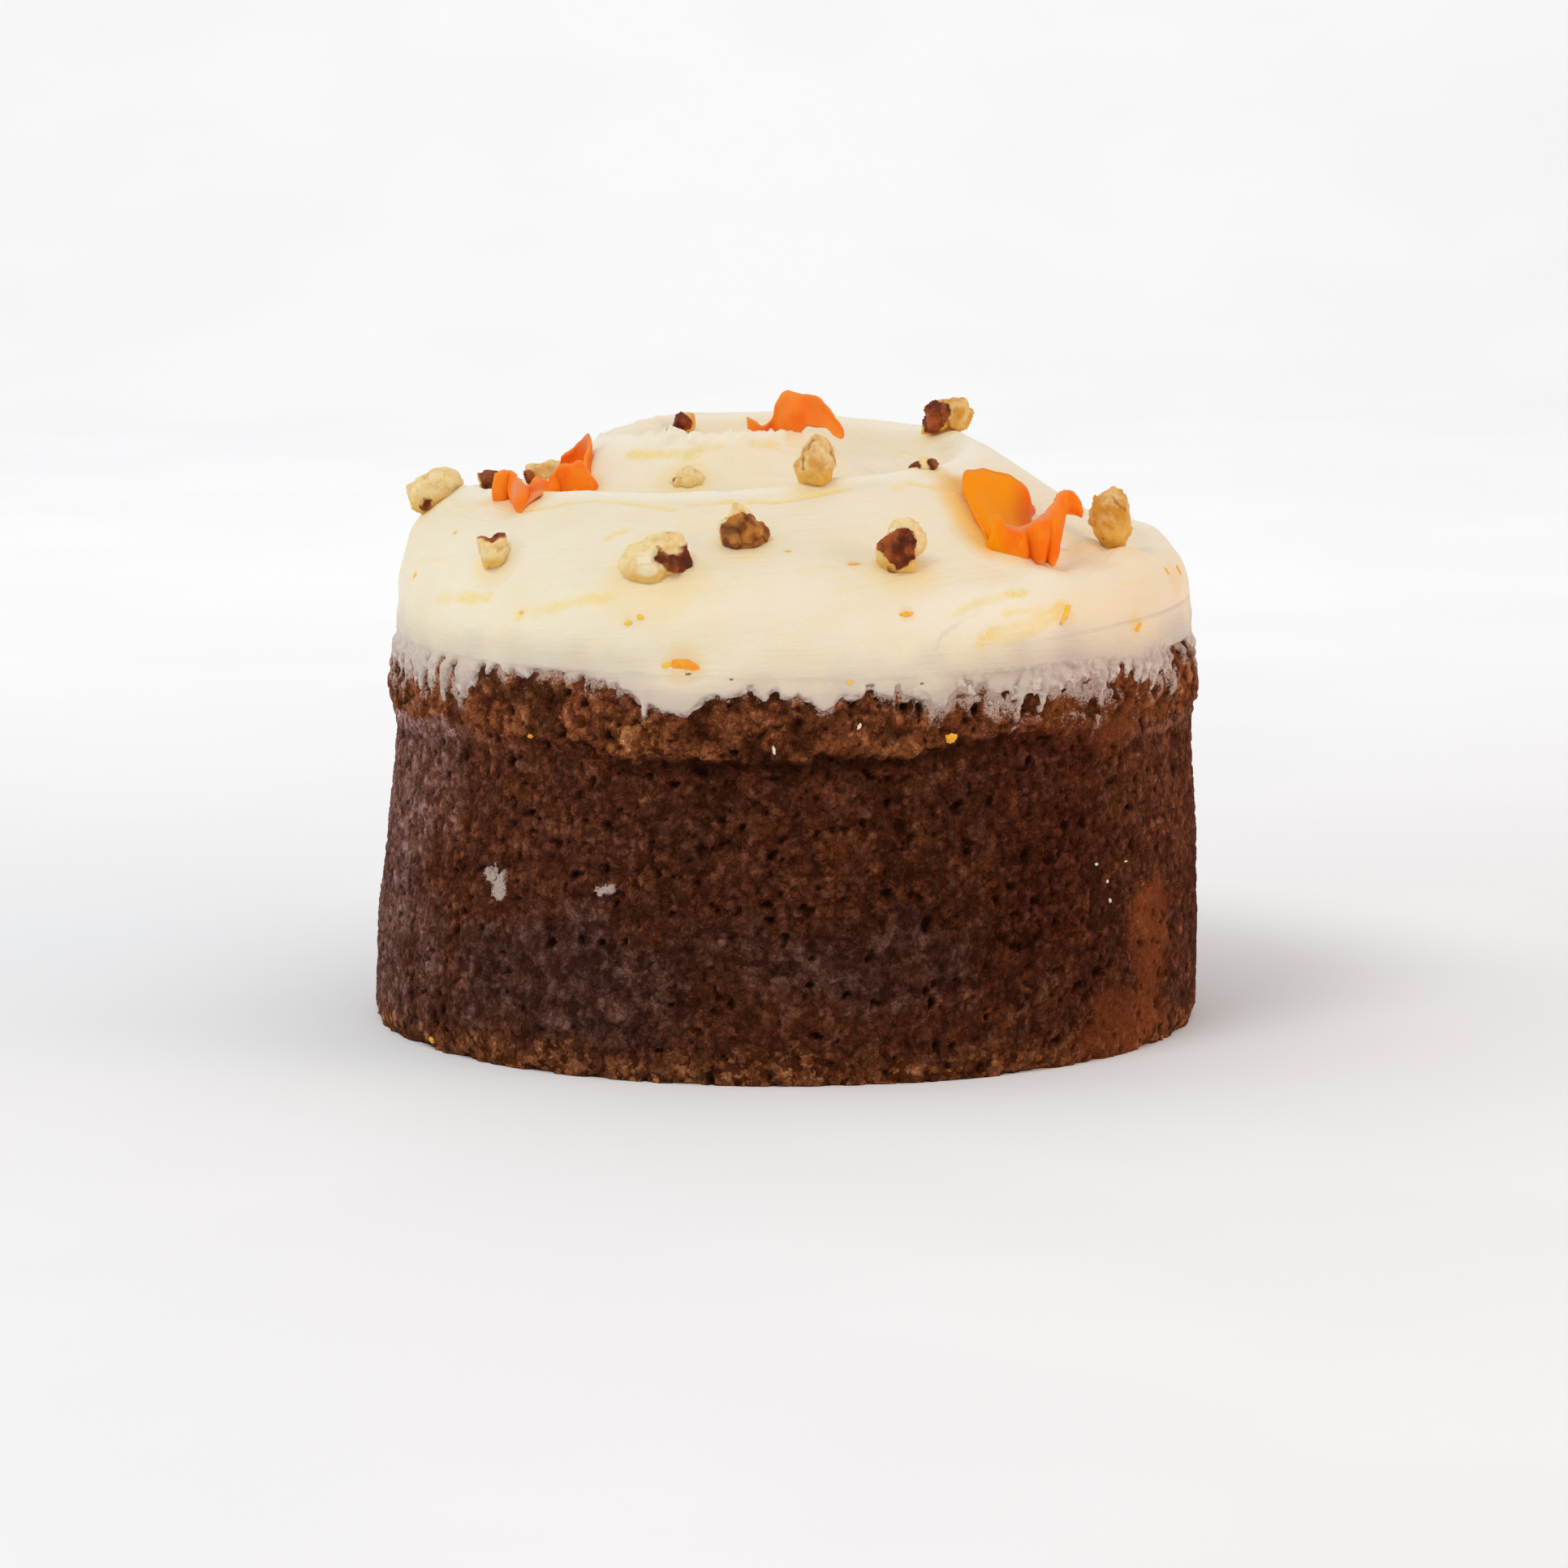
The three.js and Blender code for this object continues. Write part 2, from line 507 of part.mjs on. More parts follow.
// A broken kernel: its surface lies between the reaches of the nearest knobs.
function walnutGeometry({ at, lift, knobs }, margin) {
  const isLarge = Math.max(...knobs.map((knob) => Math.hypot(...knob))) > LARGE_REACH;
  const geometry = new THREE.IcosahedronGeometry(1, isLarge ? WALNUT_DETAIL.large : WALNUT_DETAIL.small);
  const position = geometry.attributes.position;
  const middle = new THREE.Vector3(at[0], at[1], frostingTop(at[0], at[1]) + lift);
  const tips = knobs.map((knob) => new THREE.Vector3(...knob));
  for (let i = 0; i < position.count; i += 1) {
    const direction = new THREE.Vector3().fromBufferAttribute(position, i).normalize();
    let weights = 0;
    let reaches = 0;
    for (const tip of tips) {
      const weight = Math.exp(KNOB_BLEND * (direction.dot(tip) / tip.length() - 1));
      weights += weight;
      reaches += weight * tip.length();
    }
    const radius = reaches / weights + margin;
    position.setXYZ(i, ...direction.multiplyScalar(radius).add(middle).toArray());
  }
  return geometry;
}

// ---------------------------------------------------------------- carrot ribbons

// The ribbon's middle face as rows of points, from the first station to the last.
function ribbonRows({ foot, stations, cup }, margin) {
  const edge = (side, axis, position) => (
    curveThrough(stations.map((station) => station[side][axis]), position) + foot[axis]);
  const rowCount = (stations.length - 1) * RIBBON_STEPS;
  const rows = [];
  for (let row = 0; row <= rowCount; row += 1) {
    const low = new THREE.Vector3(...[0, 1, 2].map((axis) => edge(0, axis, row / RIBBON_STEPS)));
    const high = new THREE.Vector3(...[0, 1, 2].map((axis) => edge(1, axis, row / RIBBON_STEPS)));
    const across = high.clone().sub(low);
    const stretch = margin / across.length();
    const points = [];
    for (let band = 0; band <= RIBBON_BANDS; band += 1) {
      const share = mix(-stretch, 1 + stretch, band / RIBBON_BANDS);
      points.push(low.clone().addScaledVector(across, share));
    }
    rows.push(points);
  }
  lengthen(rows[0], rows[1], margin);
  lengthen(rows[rowCount], rows[rowCount - 1], margin);
  return rows.map((points, row) => points.map((point, band) => {
    const bulge = Math.sin((Math.PI * band) / RIBBON_BANDS) * cup;
    return point.clone().addScaledVector(ribbonNormal(rows, row, band), bulge);
  }));
}

// Moves an end row of a ribbon outwards, away from the row beside it.
function lengthen(end, beside, margin) {
  end.forEach((point, band) => {
    const outwards = point.clone().sub(beside[band]).normalize();
    point.addScaledVector(outwards, margin);
  });
}

function ribbonNormal(rows, row, band) {
  const before = rows[Math.max(row - 1, 0)][band];
  const after = rows[Math.min(row + 1, rows.length - 1)][band];
  const along = after.clone().sub(before);
  const across = rows[row][RIBBON_BANDS].clone().sub(rows[row][0]);
  return along.cross(across).normalize();
}

// The ribbon is built from small flat cells, each as thick as the peel.
function ribbonSolid(ribbon, margin) {
  const rows = ribbonRows(ribbon, margin);
  const half = RIBBON_THICKNESS / 2 + margin;
  const bothFaces = (row, band) => {
    const normal = ribbonNormal(rows, row, band);
    return [half, -half].map((reach) => rows[row][band].clone().addScaledVector(normal, reach).toArray());
  };
  const cells = [];
  for (let row = 0; row + 1 < rows.length; row += 1) {
    for (let band = 0; band < RIBBON_BANDS; band += 1) {
      const corners = [[row, band], [row + 1, band], [row, band + 1], [row + 1, band + 1]];
      cells.push(wasm.Manifold.hull(corners.flatMap(([r, b]) => bothFaces(r, b))));
    }
  }
  return mainBody(wasm.Manifold.union(cells));
}

// ---------------------------------------------------------------- the cake

function frostingGeometry() {
  const cutters = [
    solidFrom(spongeGeometry(GAP)),
    ...Object.values(WALNUTS).map((walnut) => solidFrom(walnutGeometry(walnut, GAP))),
    ...Object.values(RIBBONS).map((ribbon) => ribbonSolid(ribbon, GAP)),
  ];
  const blank = solidFrom(frostingBlank());
  return geometryOf(mainBody(cutters.reduce((rest, cutter) => rest.subtract(cutter), blank)));
}

function piece(name, geometry, color, roughness) {
  const mesh = new THREE.Mesh(geometry, new THREE.MeshStandardMaterial({ color, roughness, metalness: 0 }));
  mesh.name = name;
  return mesh;
}

const cake = new THREE.Group();
cake.add(piece("sponge", spongeGeometry(0), SPONGE_COLOUR, 0.9));
cake.add(piece("frosting", frostingGeometry(), FROSTING_COLOUR, 0.55));
for (const [name, walnut] of Object.entries(WALNUTS)) {
  cake.add(piece(name, walnutGeometry(walnut, 0), WALNUT_COLOUR, 0.6));
}
for (const [name, ribbon] of Object.entries(RIBBONS)) {
  cake.add(piece(name, geometryOf(ribbonSolid(ribbon, 0)), CARROT_COLOUR, 0.5));
}

// The cake is centred on the origin, standing on z = 0.
const box = new THREE.Box3().setFromObject(cake);
cake.position.set(-(box.min.x + box.max.x) / 2, -(box.min.y + box.max.y) / 2, -box.min.z);

export default cake;
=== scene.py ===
import bmesh
import bpy
import numpy as np
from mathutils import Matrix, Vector


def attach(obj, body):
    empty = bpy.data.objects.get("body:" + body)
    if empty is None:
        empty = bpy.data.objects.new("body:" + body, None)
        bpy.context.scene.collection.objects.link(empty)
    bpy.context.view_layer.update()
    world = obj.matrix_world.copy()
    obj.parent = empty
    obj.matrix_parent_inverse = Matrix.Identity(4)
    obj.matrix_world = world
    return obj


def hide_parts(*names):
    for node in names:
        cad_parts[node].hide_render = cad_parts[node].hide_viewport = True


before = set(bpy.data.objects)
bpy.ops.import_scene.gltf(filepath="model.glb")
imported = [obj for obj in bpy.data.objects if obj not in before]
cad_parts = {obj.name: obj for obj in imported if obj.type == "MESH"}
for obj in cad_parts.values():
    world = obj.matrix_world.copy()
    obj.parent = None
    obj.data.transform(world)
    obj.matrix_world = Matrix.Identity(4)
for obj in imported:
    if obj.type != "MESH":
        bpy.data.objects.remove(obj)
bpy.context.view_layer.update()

# Every size below is in millimetres until a mesh is made, and +Z is up. Directions round the cake
# are in degrees, 0 towards +X and -90 towards the front.
MM = 0.001
TURN = 2 * np.pi
BODY = "root"
PLAN_SHIFT = (-0.134, -0.105)  # from the sponge's axis to the cake's middle
FRONT_CLOSER = 0.35  # how much closer the columns of a skin stand on the side facing -Y

# ---------------------------------------------------------------- sizes of the sponge

LEAN, LEAN_HEIGHT = 1.6, 56  # how far the side leans to +X, and the height where that ends
SPONGE_SIDE = ((0, 76.1), (18, 75.4), (36, 74.0), (52, 72.9), (58, 72.8))  # height, radius
BASE_RADIUS = SPONGE_SIDE[0][1]
WIDEST, PRESSED = 76.0, 0.5  # radius that no crumb passes, and the depth that is pressed in
CRUMB_RELIEF = 0.34  # height of the broad waves in the side
LEDGE = np.array([  # direction, height of the torn step under the crown
    (-174, 58.4), (-159, 58.2), (-144, 59.4), (-135, 58.1), (-122, 58.8), (-115, 56), (-99, 57.1),
    (-77, 56.9), (-69, 59), (-52, 59.8), (-34, 59.1), (-10, 58.2), (16, 59), (48, 57.4), (80, 58.8),
    (108, 57.6), (140, 59.2), (164, 57.6)])
LEDGE_STEP = 0.9  # how far the crown stands out over it
UNDERCUT_DEPTH = 0.7
UNDERCUT = np.array([  # direction, share of that depth by which the step is cut in, or filled
    (-175, -0.8), (-146, -0.6), (-124, 0.2), (-112, 0.8), (-84, 1), (-64, 0.7), (-48, -0.5), (-20, -0.8),
    (20, -0.4), (40, 0.3), (70, 0.6), (110, 0.2), (140, 0.5), (165, -0.4)])
CROWN_TAPER = ((64, 0), (69, 0.6), (71, 1.9))  # height, radius lost
RIM_HEIGHT = 71
RIM_ACROSS, RIM_UP = 9, 5.5  # the rim's round edge under the frosting
DOME_RISE = 4.5
FOOT_BAND = 7  # lighter crumb along the bottom
# Soft zones of the side: direction, height, half width and half height.
PATCHES = ((-30, 21, 8, 13), (-36, 3, 19, 9), (-44, 62, 22, 7))  # lighter and redder
SMOOTH_CRUSTS = ((-122, 17, 30, 15), (-84, 22, 26, 10), (40, 24, 34, 18), (130, 20, 30, 15))
SHEEN_SIDES = ((-178, 30, 44, 52),)  # painted grey sheen of the bright surroundings on the far left
SMEARS = ((-134.5, 33.4, 3.2, 2), (-133.4, 30.8, 2.6, 2), (-116, 33.3, 2.6, 1.1))  # wiped frosting
CLUMPS = (  # light crumb torn out of the crown
    (-111, 59.6, 6, 3.5), (-77, 58.5, 9, 3), (-50, 62, 10, 4), (62, 61, 8, 4), (160, 60.5, 7, 3.5))
SHEEN_AND_SHADE = np.array([  # direction, painted sheen on the limbs above 0, painted shade below 0
    (-178, 0.6), (-150, 0.95), (-132, 0.85), (-118, 0.45), (-104, 0), (-66, 0), (-56, -0.7), (-46, -0.6),
    (-37, 0.4), (-32, 1.9), (-6, 1.7), (40, 0.4), (90, 0.1), (140, 0.4)])
SPONGE_COLUMNS, SPONGE_ROWS = ((756, 124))

# ---------------------------------------------------------------- sizes of the frosting

FROSTING_RADIUS = 73.5
SKIRT = 73.9  # radius that the marks on its side are measured on
SWIRL_MIDDLE = (0, 8)
EIGHTHS = 8  # in a turn of the swirl
FAR_OFF = 40  # distance to the crests where there is no swirl
SWIRL_CREST = np.array([  # radius and height of the swirl's crest at each eighth of a turn inwards
    (84, 85.5), (74.6, 87.6), (69, 88.5), (62, 90.6), (57, 93), (57, 95), (61, 96.3), (46, 97.8),
    (38.3, 99.8), (38, 102.2), (33.5, 104.2), (33, 105), (30, 106.8), (29.5, 107.5), (34, 105.5), (26, 107.6),
    (13, 107.4), (10.5, 105.5), (6, 100.5), (6, 99.5), (6, 99.5)])
OUTER_SPREAD = 3  # how much further out the crest runs per eighth before it begins
VALLEY_DEPTH, VALLEY_SHARE = 4.6, 0.16  # deepest valley, and its depth for its width
RIM_GROOVE = dict(inwards=6, width=4, depth=2.2, start=0.4, full=1, fade=2, end=3)
SHOULDER_POWER, SHOULDER_TRIM = 2.3, 1
CREST_LIP = 0.7  # how far the knife raised a lip along the crests
RIDGE_LIPS = ((5.6, 6.6, 8, 9.2), (14.2, 14.9, 16.6, 17.6))  # eighths where it is highest
HOLLOW = dict(x=19, y=0, across=14, depth=1.0)  # scooped out between the ridges
# Frosting heaped up against toppings, or scooped away (negative): middle, reach and height.
HEAPS = (((58, -28), 9, 1.3), ((43, -47), 8, 1.5), ((-50.5, -42), 4.5, -1.1))
UNDERSIDE = ((20, 77), (52, 74), (64, 66), (68, 58.5))  # radius, height of rings hidden in the sponge
UNDERSIDE_MIDDLE = 77.5
MARK_RUN = 14  # millimetres along the swirl to an eighth of a turn, for its fine marks

# The smear is the frosting's thin lower part over the crown.
SMEAR_TOP, SMEAR_TOP_RADIUS = 71.5, 72.95
SMEAR_REACH = 7  # its sheet dives into the crumb this far under its edge
SMEAR_FULL, SMEAR_BLUNT = 1.35, 1.0  # thickness where it ends, and at its edge where that is blunt
SMEAR_SUNK = -1.6  # where its hidden sheet lies in the crumb, past its edge
SMEAR_SLANT = 0.6  # how far the fingers on the right lean, per millimetre of height
EDGE_BEHIND = [  # direction, height of the frosting's lower edge round the back
    (12, 66.4), (30, 68.2), (52, 65.8), (70, 68), (88, 68.8), (104, 66.2), (121, 68.4), (140, 65.9),
    (160, 68.2)]
LOWER_EDGE = np.array([  # direction, height of that edge in broad sweeps
    (-178, 66), (-163, 67.4), (-150, 65.4), (-131, 69.4), (-116, 68), (-105, 64.8), (-93, 67.6),
    (-72, 66.8), (-60, 68.4), (-49, 69), (-33, 66.6), (-22, 68.8), (-5, 68.4)] + EDGE_BEHIND)
SMEAR_EDGE = np.array([  # direction, height of the smear's edge
    (-178, 66.4), (-168, 66.2), (-160, 65.2), (-151, 65), (-142, 65.6), (-138.5, 69.2), (-131, 69.4),
    (-126, 71), (-119, 69.8), (-113, 67.4), (-109, 65.3), (-104.8, 64.7), (-102, 67.4), (-97, 68.2),
    (-88, 67.9), (-73, 67.7), (-66, 67.6), (-60, 66.8), (-55, 67.9), (-49, 66.6), (-44, 67.2), (-38, 68),
    (-30, 66.2), (-25, 66.6), (-21.6, 71), (-14, 70.6), (-4, 68)] + EDGE_BEHIND)
FINGERING = np.array([  # direction, how far its edge is drawn out into fingers
    (-176, 1), (-146, 0.9), (-134, 0.4), (-120, 0.5), (-106, 0.1), (-84, 0.2), (-66, 0.7), (-40, 1),
    (14, 0.7), (48, 0.35), (84, 0.9), (118, 0.4), (150, 0.8)])
# Its tongues and, below 0, bites: direction, half width, how far it reaches down.
SMEAR_TONGUES = (
    (-164, 0.9, -3), (-158.5, 0.9, 1.2), (-154, 0.8, -4), (-149.6, 1, -6.5), (-148.2, 0.5, 2.5),
    (-146.2, 0.8, -5.5), (-143.4, 1.9, 0.8), (-139.8, 0.9, -1.5), (-136, 0.8, -1.6), (-127, 1.4, 0.6),
    (-110.6, 0.6, 2.4), (-95.9, 0.6, -0.9), (-94.2, 0.8, 1), (-92.6, 0.7, -1.2), (-86, 1.8, 2.2),
    (-79.8, 0.9, -1.5), (-76, 0.6, -1.8), (-70, 1.6, 2.4), (-67, 1.4, -1.4), (-63.6, 0.6, -2),
    (-61.6, 1.4, 1.6), (-57.4, 0.6, 3.6), (-53.6, 0.6, 3.2), (-42.6, 0.7, 4.6), (-37.7, 1, -1),
    (-34, 0.8, 1.4), (-27.4, 0.9, 1), (-22.6, 0.7, 4.4), (20, 1.2, 2), (44, 2, 1.6), (76, 1, 3),
    (98, 1.5, 2), (126, 1, -2), (148, 1, 3.2), (170, 1, 2.4))

# Where carrot juice ran into the frosting: spots with their reach and strength, and a line.
STAINS = (
    ((22, -21, 101), 2.4, 0.55), ((33, -41, 94), 5.5, 0.35),
    ((-49, -22, 96), 4, 0.2), ((69, -22, 82), 4, 0.3), ((62, -40, 77), 2.6, 0.4))
BLED_LINE, BLED_REACH = ((30.3, -24), (30.6, -31), (32.3, -38), (35, -46)), 5.5
ZEST_FIELD = (42, -60, 80)  # middle of the patch where most zest shows
# Yellow lines drawn by the knife through grated carrot and zest: their width, how deep the knife
# cut them in, and the spots they run through.
STREAKS = (
    (1.3, 0.35, ((-28, -9, 103.5), (-17.5, -14, 104), (-1.5, -8.5, 105.5))),
    (1.0, 0.3, ((-47, -26, 95.5), (-34, -28, 97.5), (-20, -37.5, 97))),
    (1.1, 0.3, ((-17, -35.5, 98), (-2.5, -37.5, 98.5), (11, -33, 99.5))),
    (1.0, 0.2, ((19.5, -32.5, 99.5), (22.5, -28.5, 100.5), (26, -29, 100))),
    (1.2, 0.1, ((-47, -52.5, 79.5), (-38, -58, 82.5), (-30, -61.5, 84))),
    (0.9, 0.1, ((2.5, -63, 89), (13, -59, 90.5))),
    (1.0, 0.1, ((29.5, -65.5, 81.5), (34.5, -62, 83.5), (41.5, -57, 84.5))),
    (1.1, 0.1, ((34, -65, 76.5), (41.5, -60, 79.5), (49, -53.5, 81.5))),
    (0.9, 0.1, ((38.5, -61.5, 81), (44.5, -57, 81.5))), (0.9, 0.1, ((36, -63.5, 78.5), (47, -56, 79.5))),
    (0.9, 0.1, ((38.5, -62.5, 76.5), (45.5, -57.5, 78.5))), (1.2, 0.1, ((-62, -33, 80), (-53, -45, 82))),
    (1.2, 0.1, ((-31, -46, 93), (-28.5, -45, 93.5))), (1.1, 0.1, ((20, 62, 88), (38, 52, 88))),
    (1.1, 0.1, ((-52, 36, 92), (-36, 52, 92))))
FROSTING_COLUMNS = 600
TOP_ROWS, SHOULDER_ROWS, WALL_ROWS, SMEAR_ROWS = ((84, 22, 6, 44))

# ---------------------------------------------------------------- sizes of the toppings

# Each walnut piece: spot, lift of its middle above the frosting, how honey-brown its flesh is, how
# golden its skin is, where it keeps skin or is freshly broken as (direction, degrees around it), its
# dents as (direction, degrees around it, depth), its veins as (sideways, upwards) ends on the front,
# and the tips of its knobs from its middle.
WALNUTS = {
    "walnut_left_rim": dict(
        at=(-64.2, 1), lift=3, honey=0.12, gold=0.3, skins=(((-0.31, -0.8, -0.53), 8),),
        dents=(((0.6, 0, -0.8), 30, 1.1), ((-0.6, 0, 0.8), 28, 0.8)),
        knobs=(
            (-5.4, 0, 0.6), (-4.5, -1, -3.7), (-1.6, 0, -4.6), (2.5, 1, -1.8), (5.3, 0, 1.5),
            (4.2, 0, 3.9), (1.6, 0, 4.5), (-2.6, 1, 2.9), (0, -4, 0.6), (1, 4, 1))),
    "walnut_left_hollow": dict(
        at=(-52.8, 8), lift=1.6, honey=0.5, gold=0.25, skins=(((0.6, -0.7, 0), 118),),
        dents=(((0.2, -0.5, -1), 30, 0.7),),
        knobs=(
            (-4.2, 0, 2.3), (-1, 0, 2.6), (3.8, 0, 1), (2.6, 1, -2.2), (-2.2, -1, -2.4), (0, -2.6, 0),
            (0, 2.6, 0.5))),
    "walnut_behind_ribbon": dict(
        at=(-44.4, 5.5), lift=1.4, honey=0.45, gold=0.1, skins=(((-1, -0.3, -0.05), 30),),
        knobs=(
            (-3.6, 0, 2), (-1, 0, 1.8), (3.6, 0, 2.6), (3.4, 0, -2), (-3.2, 0, -2), (0, -2.4, 0),
            (0.4, 3, 1))),
    "walnut_front_left": dict(
        at=(-51.9, -39.5), lift=1.4, honey=0.1, gold=0.1, skins=(((-0.1, 0.3, 1), 46),),
        dents=(((0.05, -0.2, 1), 26, 0.9), ((1, -0.3, -0.1), 24, 0.5)),
        knobs=(
            (-2.9, 0, 2.9), (-0.6, 0.3, 2), (2.1, 0.4, 3.5), (3.3, 0, -0.4), (2.4, 0, -2.4),
            (-1.4, -0.6, -2.8), (-2.6, 0, 0.2), (0, -2.5, -0.4), (0, 2.6, 0.4))),
    "walnut_front_broad": dict(
        at=(-23, -59.8), lift=2, honey=0.1, gold=0.1, fresh=(((-0.25, -1, 0.1), 34),),
        skins=(((0.42, -0.85, 0.3), 17), ((0.75, -0.6, 0.15), 22), ((1, -0.1, 0), 15)),
        veins=(((0.6, 3), (2.6, 1.2)),),
        dents=(((0.2, -0.9, 0.35), 30, 1.3), ((0.7, 0, -0.7), 26, 1), ((-0.4, -0.6, 0.9), 22, 0.7)),
        knobs=(
            (-6.6, 0, -1), (-4.6, 0.6, 2.8), (-0.8, 1, 4.6), (5.1, 1, 5.4), (5.4, 0, 1.2),
            (7.4, -0.6, -0.3), (2.9, -0.6, -2.9), (-0.4, -1, -4.9), (-4, -0.6, -3.5), (-1, -3.8, -0.5),
            (0.6, 3.2, 0.6))),
    "walnut_front_middle": dict(
        at=(-7.5, -54), lift=2.6, honey=0.25, gold=0.9,
        skins=(((0.12, -1, -0.38), 84), ((0.7, 0.3, -0.2), 70)),
        dents=(((-0.75, 0, 0.75), 30, 1.3), ((0.75, 0, 0.75), 30, 1.4), ((0.3, -1, 0.1), 26, 0.9)),
        knobs=(
            (-1.4, 0.4, 5.2), (1.4, 0.4, 3.6), (-4.6, 0, 2.3), (-3.6, -0.4, -2.6), (-2, -0.6, -4),
            (3.4, -0.6, -3.9), (4.6, 0, -0.8), (3.5, 0, 1.8), (0.4, -3.6, 0), (0, 3.3, 0.6))),
    "walnut_behind_crest": dict(
        at=(-17.5, -17.9), lift=0.3, honey=0.3, gold=0.2, skins=(((-1, -0.25, 0.05), 22),),
        dents=(((0.6, -0.4, 0.5), 26, 0.6),),
        knobs=(
            (-3.9, 0, -1.2), (-2, 0, 1.4), (-0.1, 0, 2.8), (4.1, 0, -0.4), (0, -2.4, -1), (0, 2.4, 0),
            (0, 0, -2.6))),
    "walnut_top_left": dict(
        at=(-18.9, 24), lift=1.4, honey=0.5, gold=0, skins=(((-0.5, -0.85, 0.1), 70),),
        knobs=(
            (-1.6, 0, 1.4), (-0.6, 0, 2), (1.9, 0, 1.8), (2.1, 0, -1.4), (-2, 0, -1.9), (0, -2, 0),
            (0, 2, 0))),
    "walnut_upright": dict(
        at=(5.1, -30.2), lift=4.1, honey=0.5, gold=0.5,
        veins=(((-0.2, 4.3), (-2.3, 1.6)), ((-2.1, 1.3), (-2.0, -0.8)), ((3, 3.8), (3.7, -0.5))),
        dents=(((-0.9, -0.2, 0.45), 24, 0.6), ((0.35, -1, -0.2), 26, 0.5)),
        knobs=(
            (0.2, 0, 5.5), (2.6, 0, 4.8), (3.5, 0, 2.6), (3.9, 0, -0.6), (2.4, 0, -4.7), (-2.4, 0, -4),
            (-3.9, 0, -0.4), (-2.3, 0, 2.6), (-0.4, -3.2, -0.6), (0.6, 3.1, 0.6))),
    "walnut_front_right": dict(
        at=(20, -59.3), lift=3.9, honey=0.2, gold=0.12, fresh=(((-0.45, -0.7, 0.75), 20),),
        skins=(((-0.2, -1, 0.25), 50), ((0.45, -1, -0.05), 32), ((-0.4, -0.8, -0.4), 26)),
        dents=(((-0.85, -0.1, 0.6), 30, 1.3), ((0.85, -0.2, -0.6), 30, 1.3), ((0.2, -1, -0.75), 24, 0.9)),
        knobs=(
            (1.5, 1.8, 5.1), (4.4, 1.6, 2.9), (4.6, 1, 0.2), (-3.6, -0.8, 2.3), (-1.4, 0.8, 4.2),
            (-4.2, -1.2, -2.6), (-2.2, -1, -5.6), (2.3, -1, -5.3), (2.6, -2, -2.2), (-0.4, -3.6, 0.2),
            (0.6, 3.4, 1))),
    "walnut_right_hollow": dict(
        at=(24.7, -20), lift=0.6, honey=0.1, gold=0.5,
        skins=(((-0.85, -0.5, 0.05), 44), ((0.95, -0.4, 0.2), 34)),
        dents=(((0, -0.6, -1), 38, 0.9),),
        knobs=(
            (-3.2, 0, -1.2), (-0.6, 0, 1.9), (1.2, 0, 2), (3.1, 0, 0.6), (1.2, 0, -2.4), (-1.6, 0, -2.4),
            (0, -2.3, 0), (0, 2.4, 0))),
    "walnut_back_ridge": dict(
        at=(30.1, 21), lift=3.2, honey=0.7, gold=0.1, skins=(((-0.78, -0.6, 0.2), 60),),
        veins=(((-0.8, 3), (0.3, -1.8)),),
        dents=(((0.05, -0.3, 1), 22, 0.8), ((0.1, -0.6, -1), 30, 0.8)),
        knobs=(
            (-4.7, 0, -3.2), (-4.2, 0, 1.8), (-1, 0, 3.3), (3.6, 0, 3.5), (5.1, 0, 0.8), (3.8, 0, -2.2),
            (-0.6, 0, -3.4), (-0.6, -3.2, 0), (0.6, 3.3, 0.4))),
    "walnut_right_rim": dict(
        at=(58.3, -25.7), lift=7.1, honey=0.75, gold=0.6, skins=(((-0.3, -0.6, -0.95), 12),),
        veins=(((0.2, 3.8), (2.4, 1.5)), ((-1.3, 2.1), (-0.9, 0.7))),
        dents=(((-0.85, -0.2, -0.5), 24, 0.8), ((0.2, -1, 0.1), 24, 0.5)),
        knobs=(
            (-3.3, 0, 3.9), (1, 0, 5.7), (2.2, 0, 4.9), (3.6, 0, 0), (4.2, 0, -2.6), (1, -0.4, -6),
            (0.6, 1, -8.2), (-2.2, 0, -3.4), (-4, 0, -1), (0.2, -3.2, 0), (0.4, 3.2, 0))),
    "walnut_back_left": dict(
        at=(-33, 50), lift=2.1, honey=0.3, gold=0.3, skins=(((0.4, 0.9, 0.3), 55),),
        knobs=(
            (-4.8, 0.6, 0.6), (-1.6, -0.6, 3), (2.4, 0, 3.4), (4.6, -0.4, -0.6), (1.6, 1, -3),
            (-2.6, 0, -2.8), (0, -4, 0.4), (0.6, 3.8, 0.8))),
    "walnut_back_middle": dict(
        at=(-8, 61), lift=1.9, honey=0.6, gold=0.5, skins=(((-0.6, 0.8, 0), 48),),
        knobs=(
            (-3.8, 0, 1.6), (0.4, 0, 3.2), (3.6, 0.8, 1.8), (3, -0.6, -2.4), (-2.6, 0.4, -2.6),
            (0.4, -3.4, 0.4), (-0.4, 3.6, -0.2))),
    "walnut_back_right": dict(
        at=(33, 52), lift=2.1, honey=0.2, gold=0.2, skins=(((0.5, 0.8, 0.4), 66),),
        knobs=(
            (-4.2, 1, -1.2), (-3, 0, 3), (1.6, -0.8, 4), (4.4, 0, 1.2), (3, 0.6, -2.8), (-1, 0, -3.2),
            (0.6, -3.4, 0), (-0.6, 3.8, 0.6))),
}
KNOB_BLEND = 12  # how sharply one knob gives way to the next
FLAT_SHARE = 0.8  # how far the faces between knobs are broken flat
FACET, FACET_DEPTH = 3.4, 0.14  # broken facets on those faces, and how far they tilt
WALNUT_DETAIL = 5
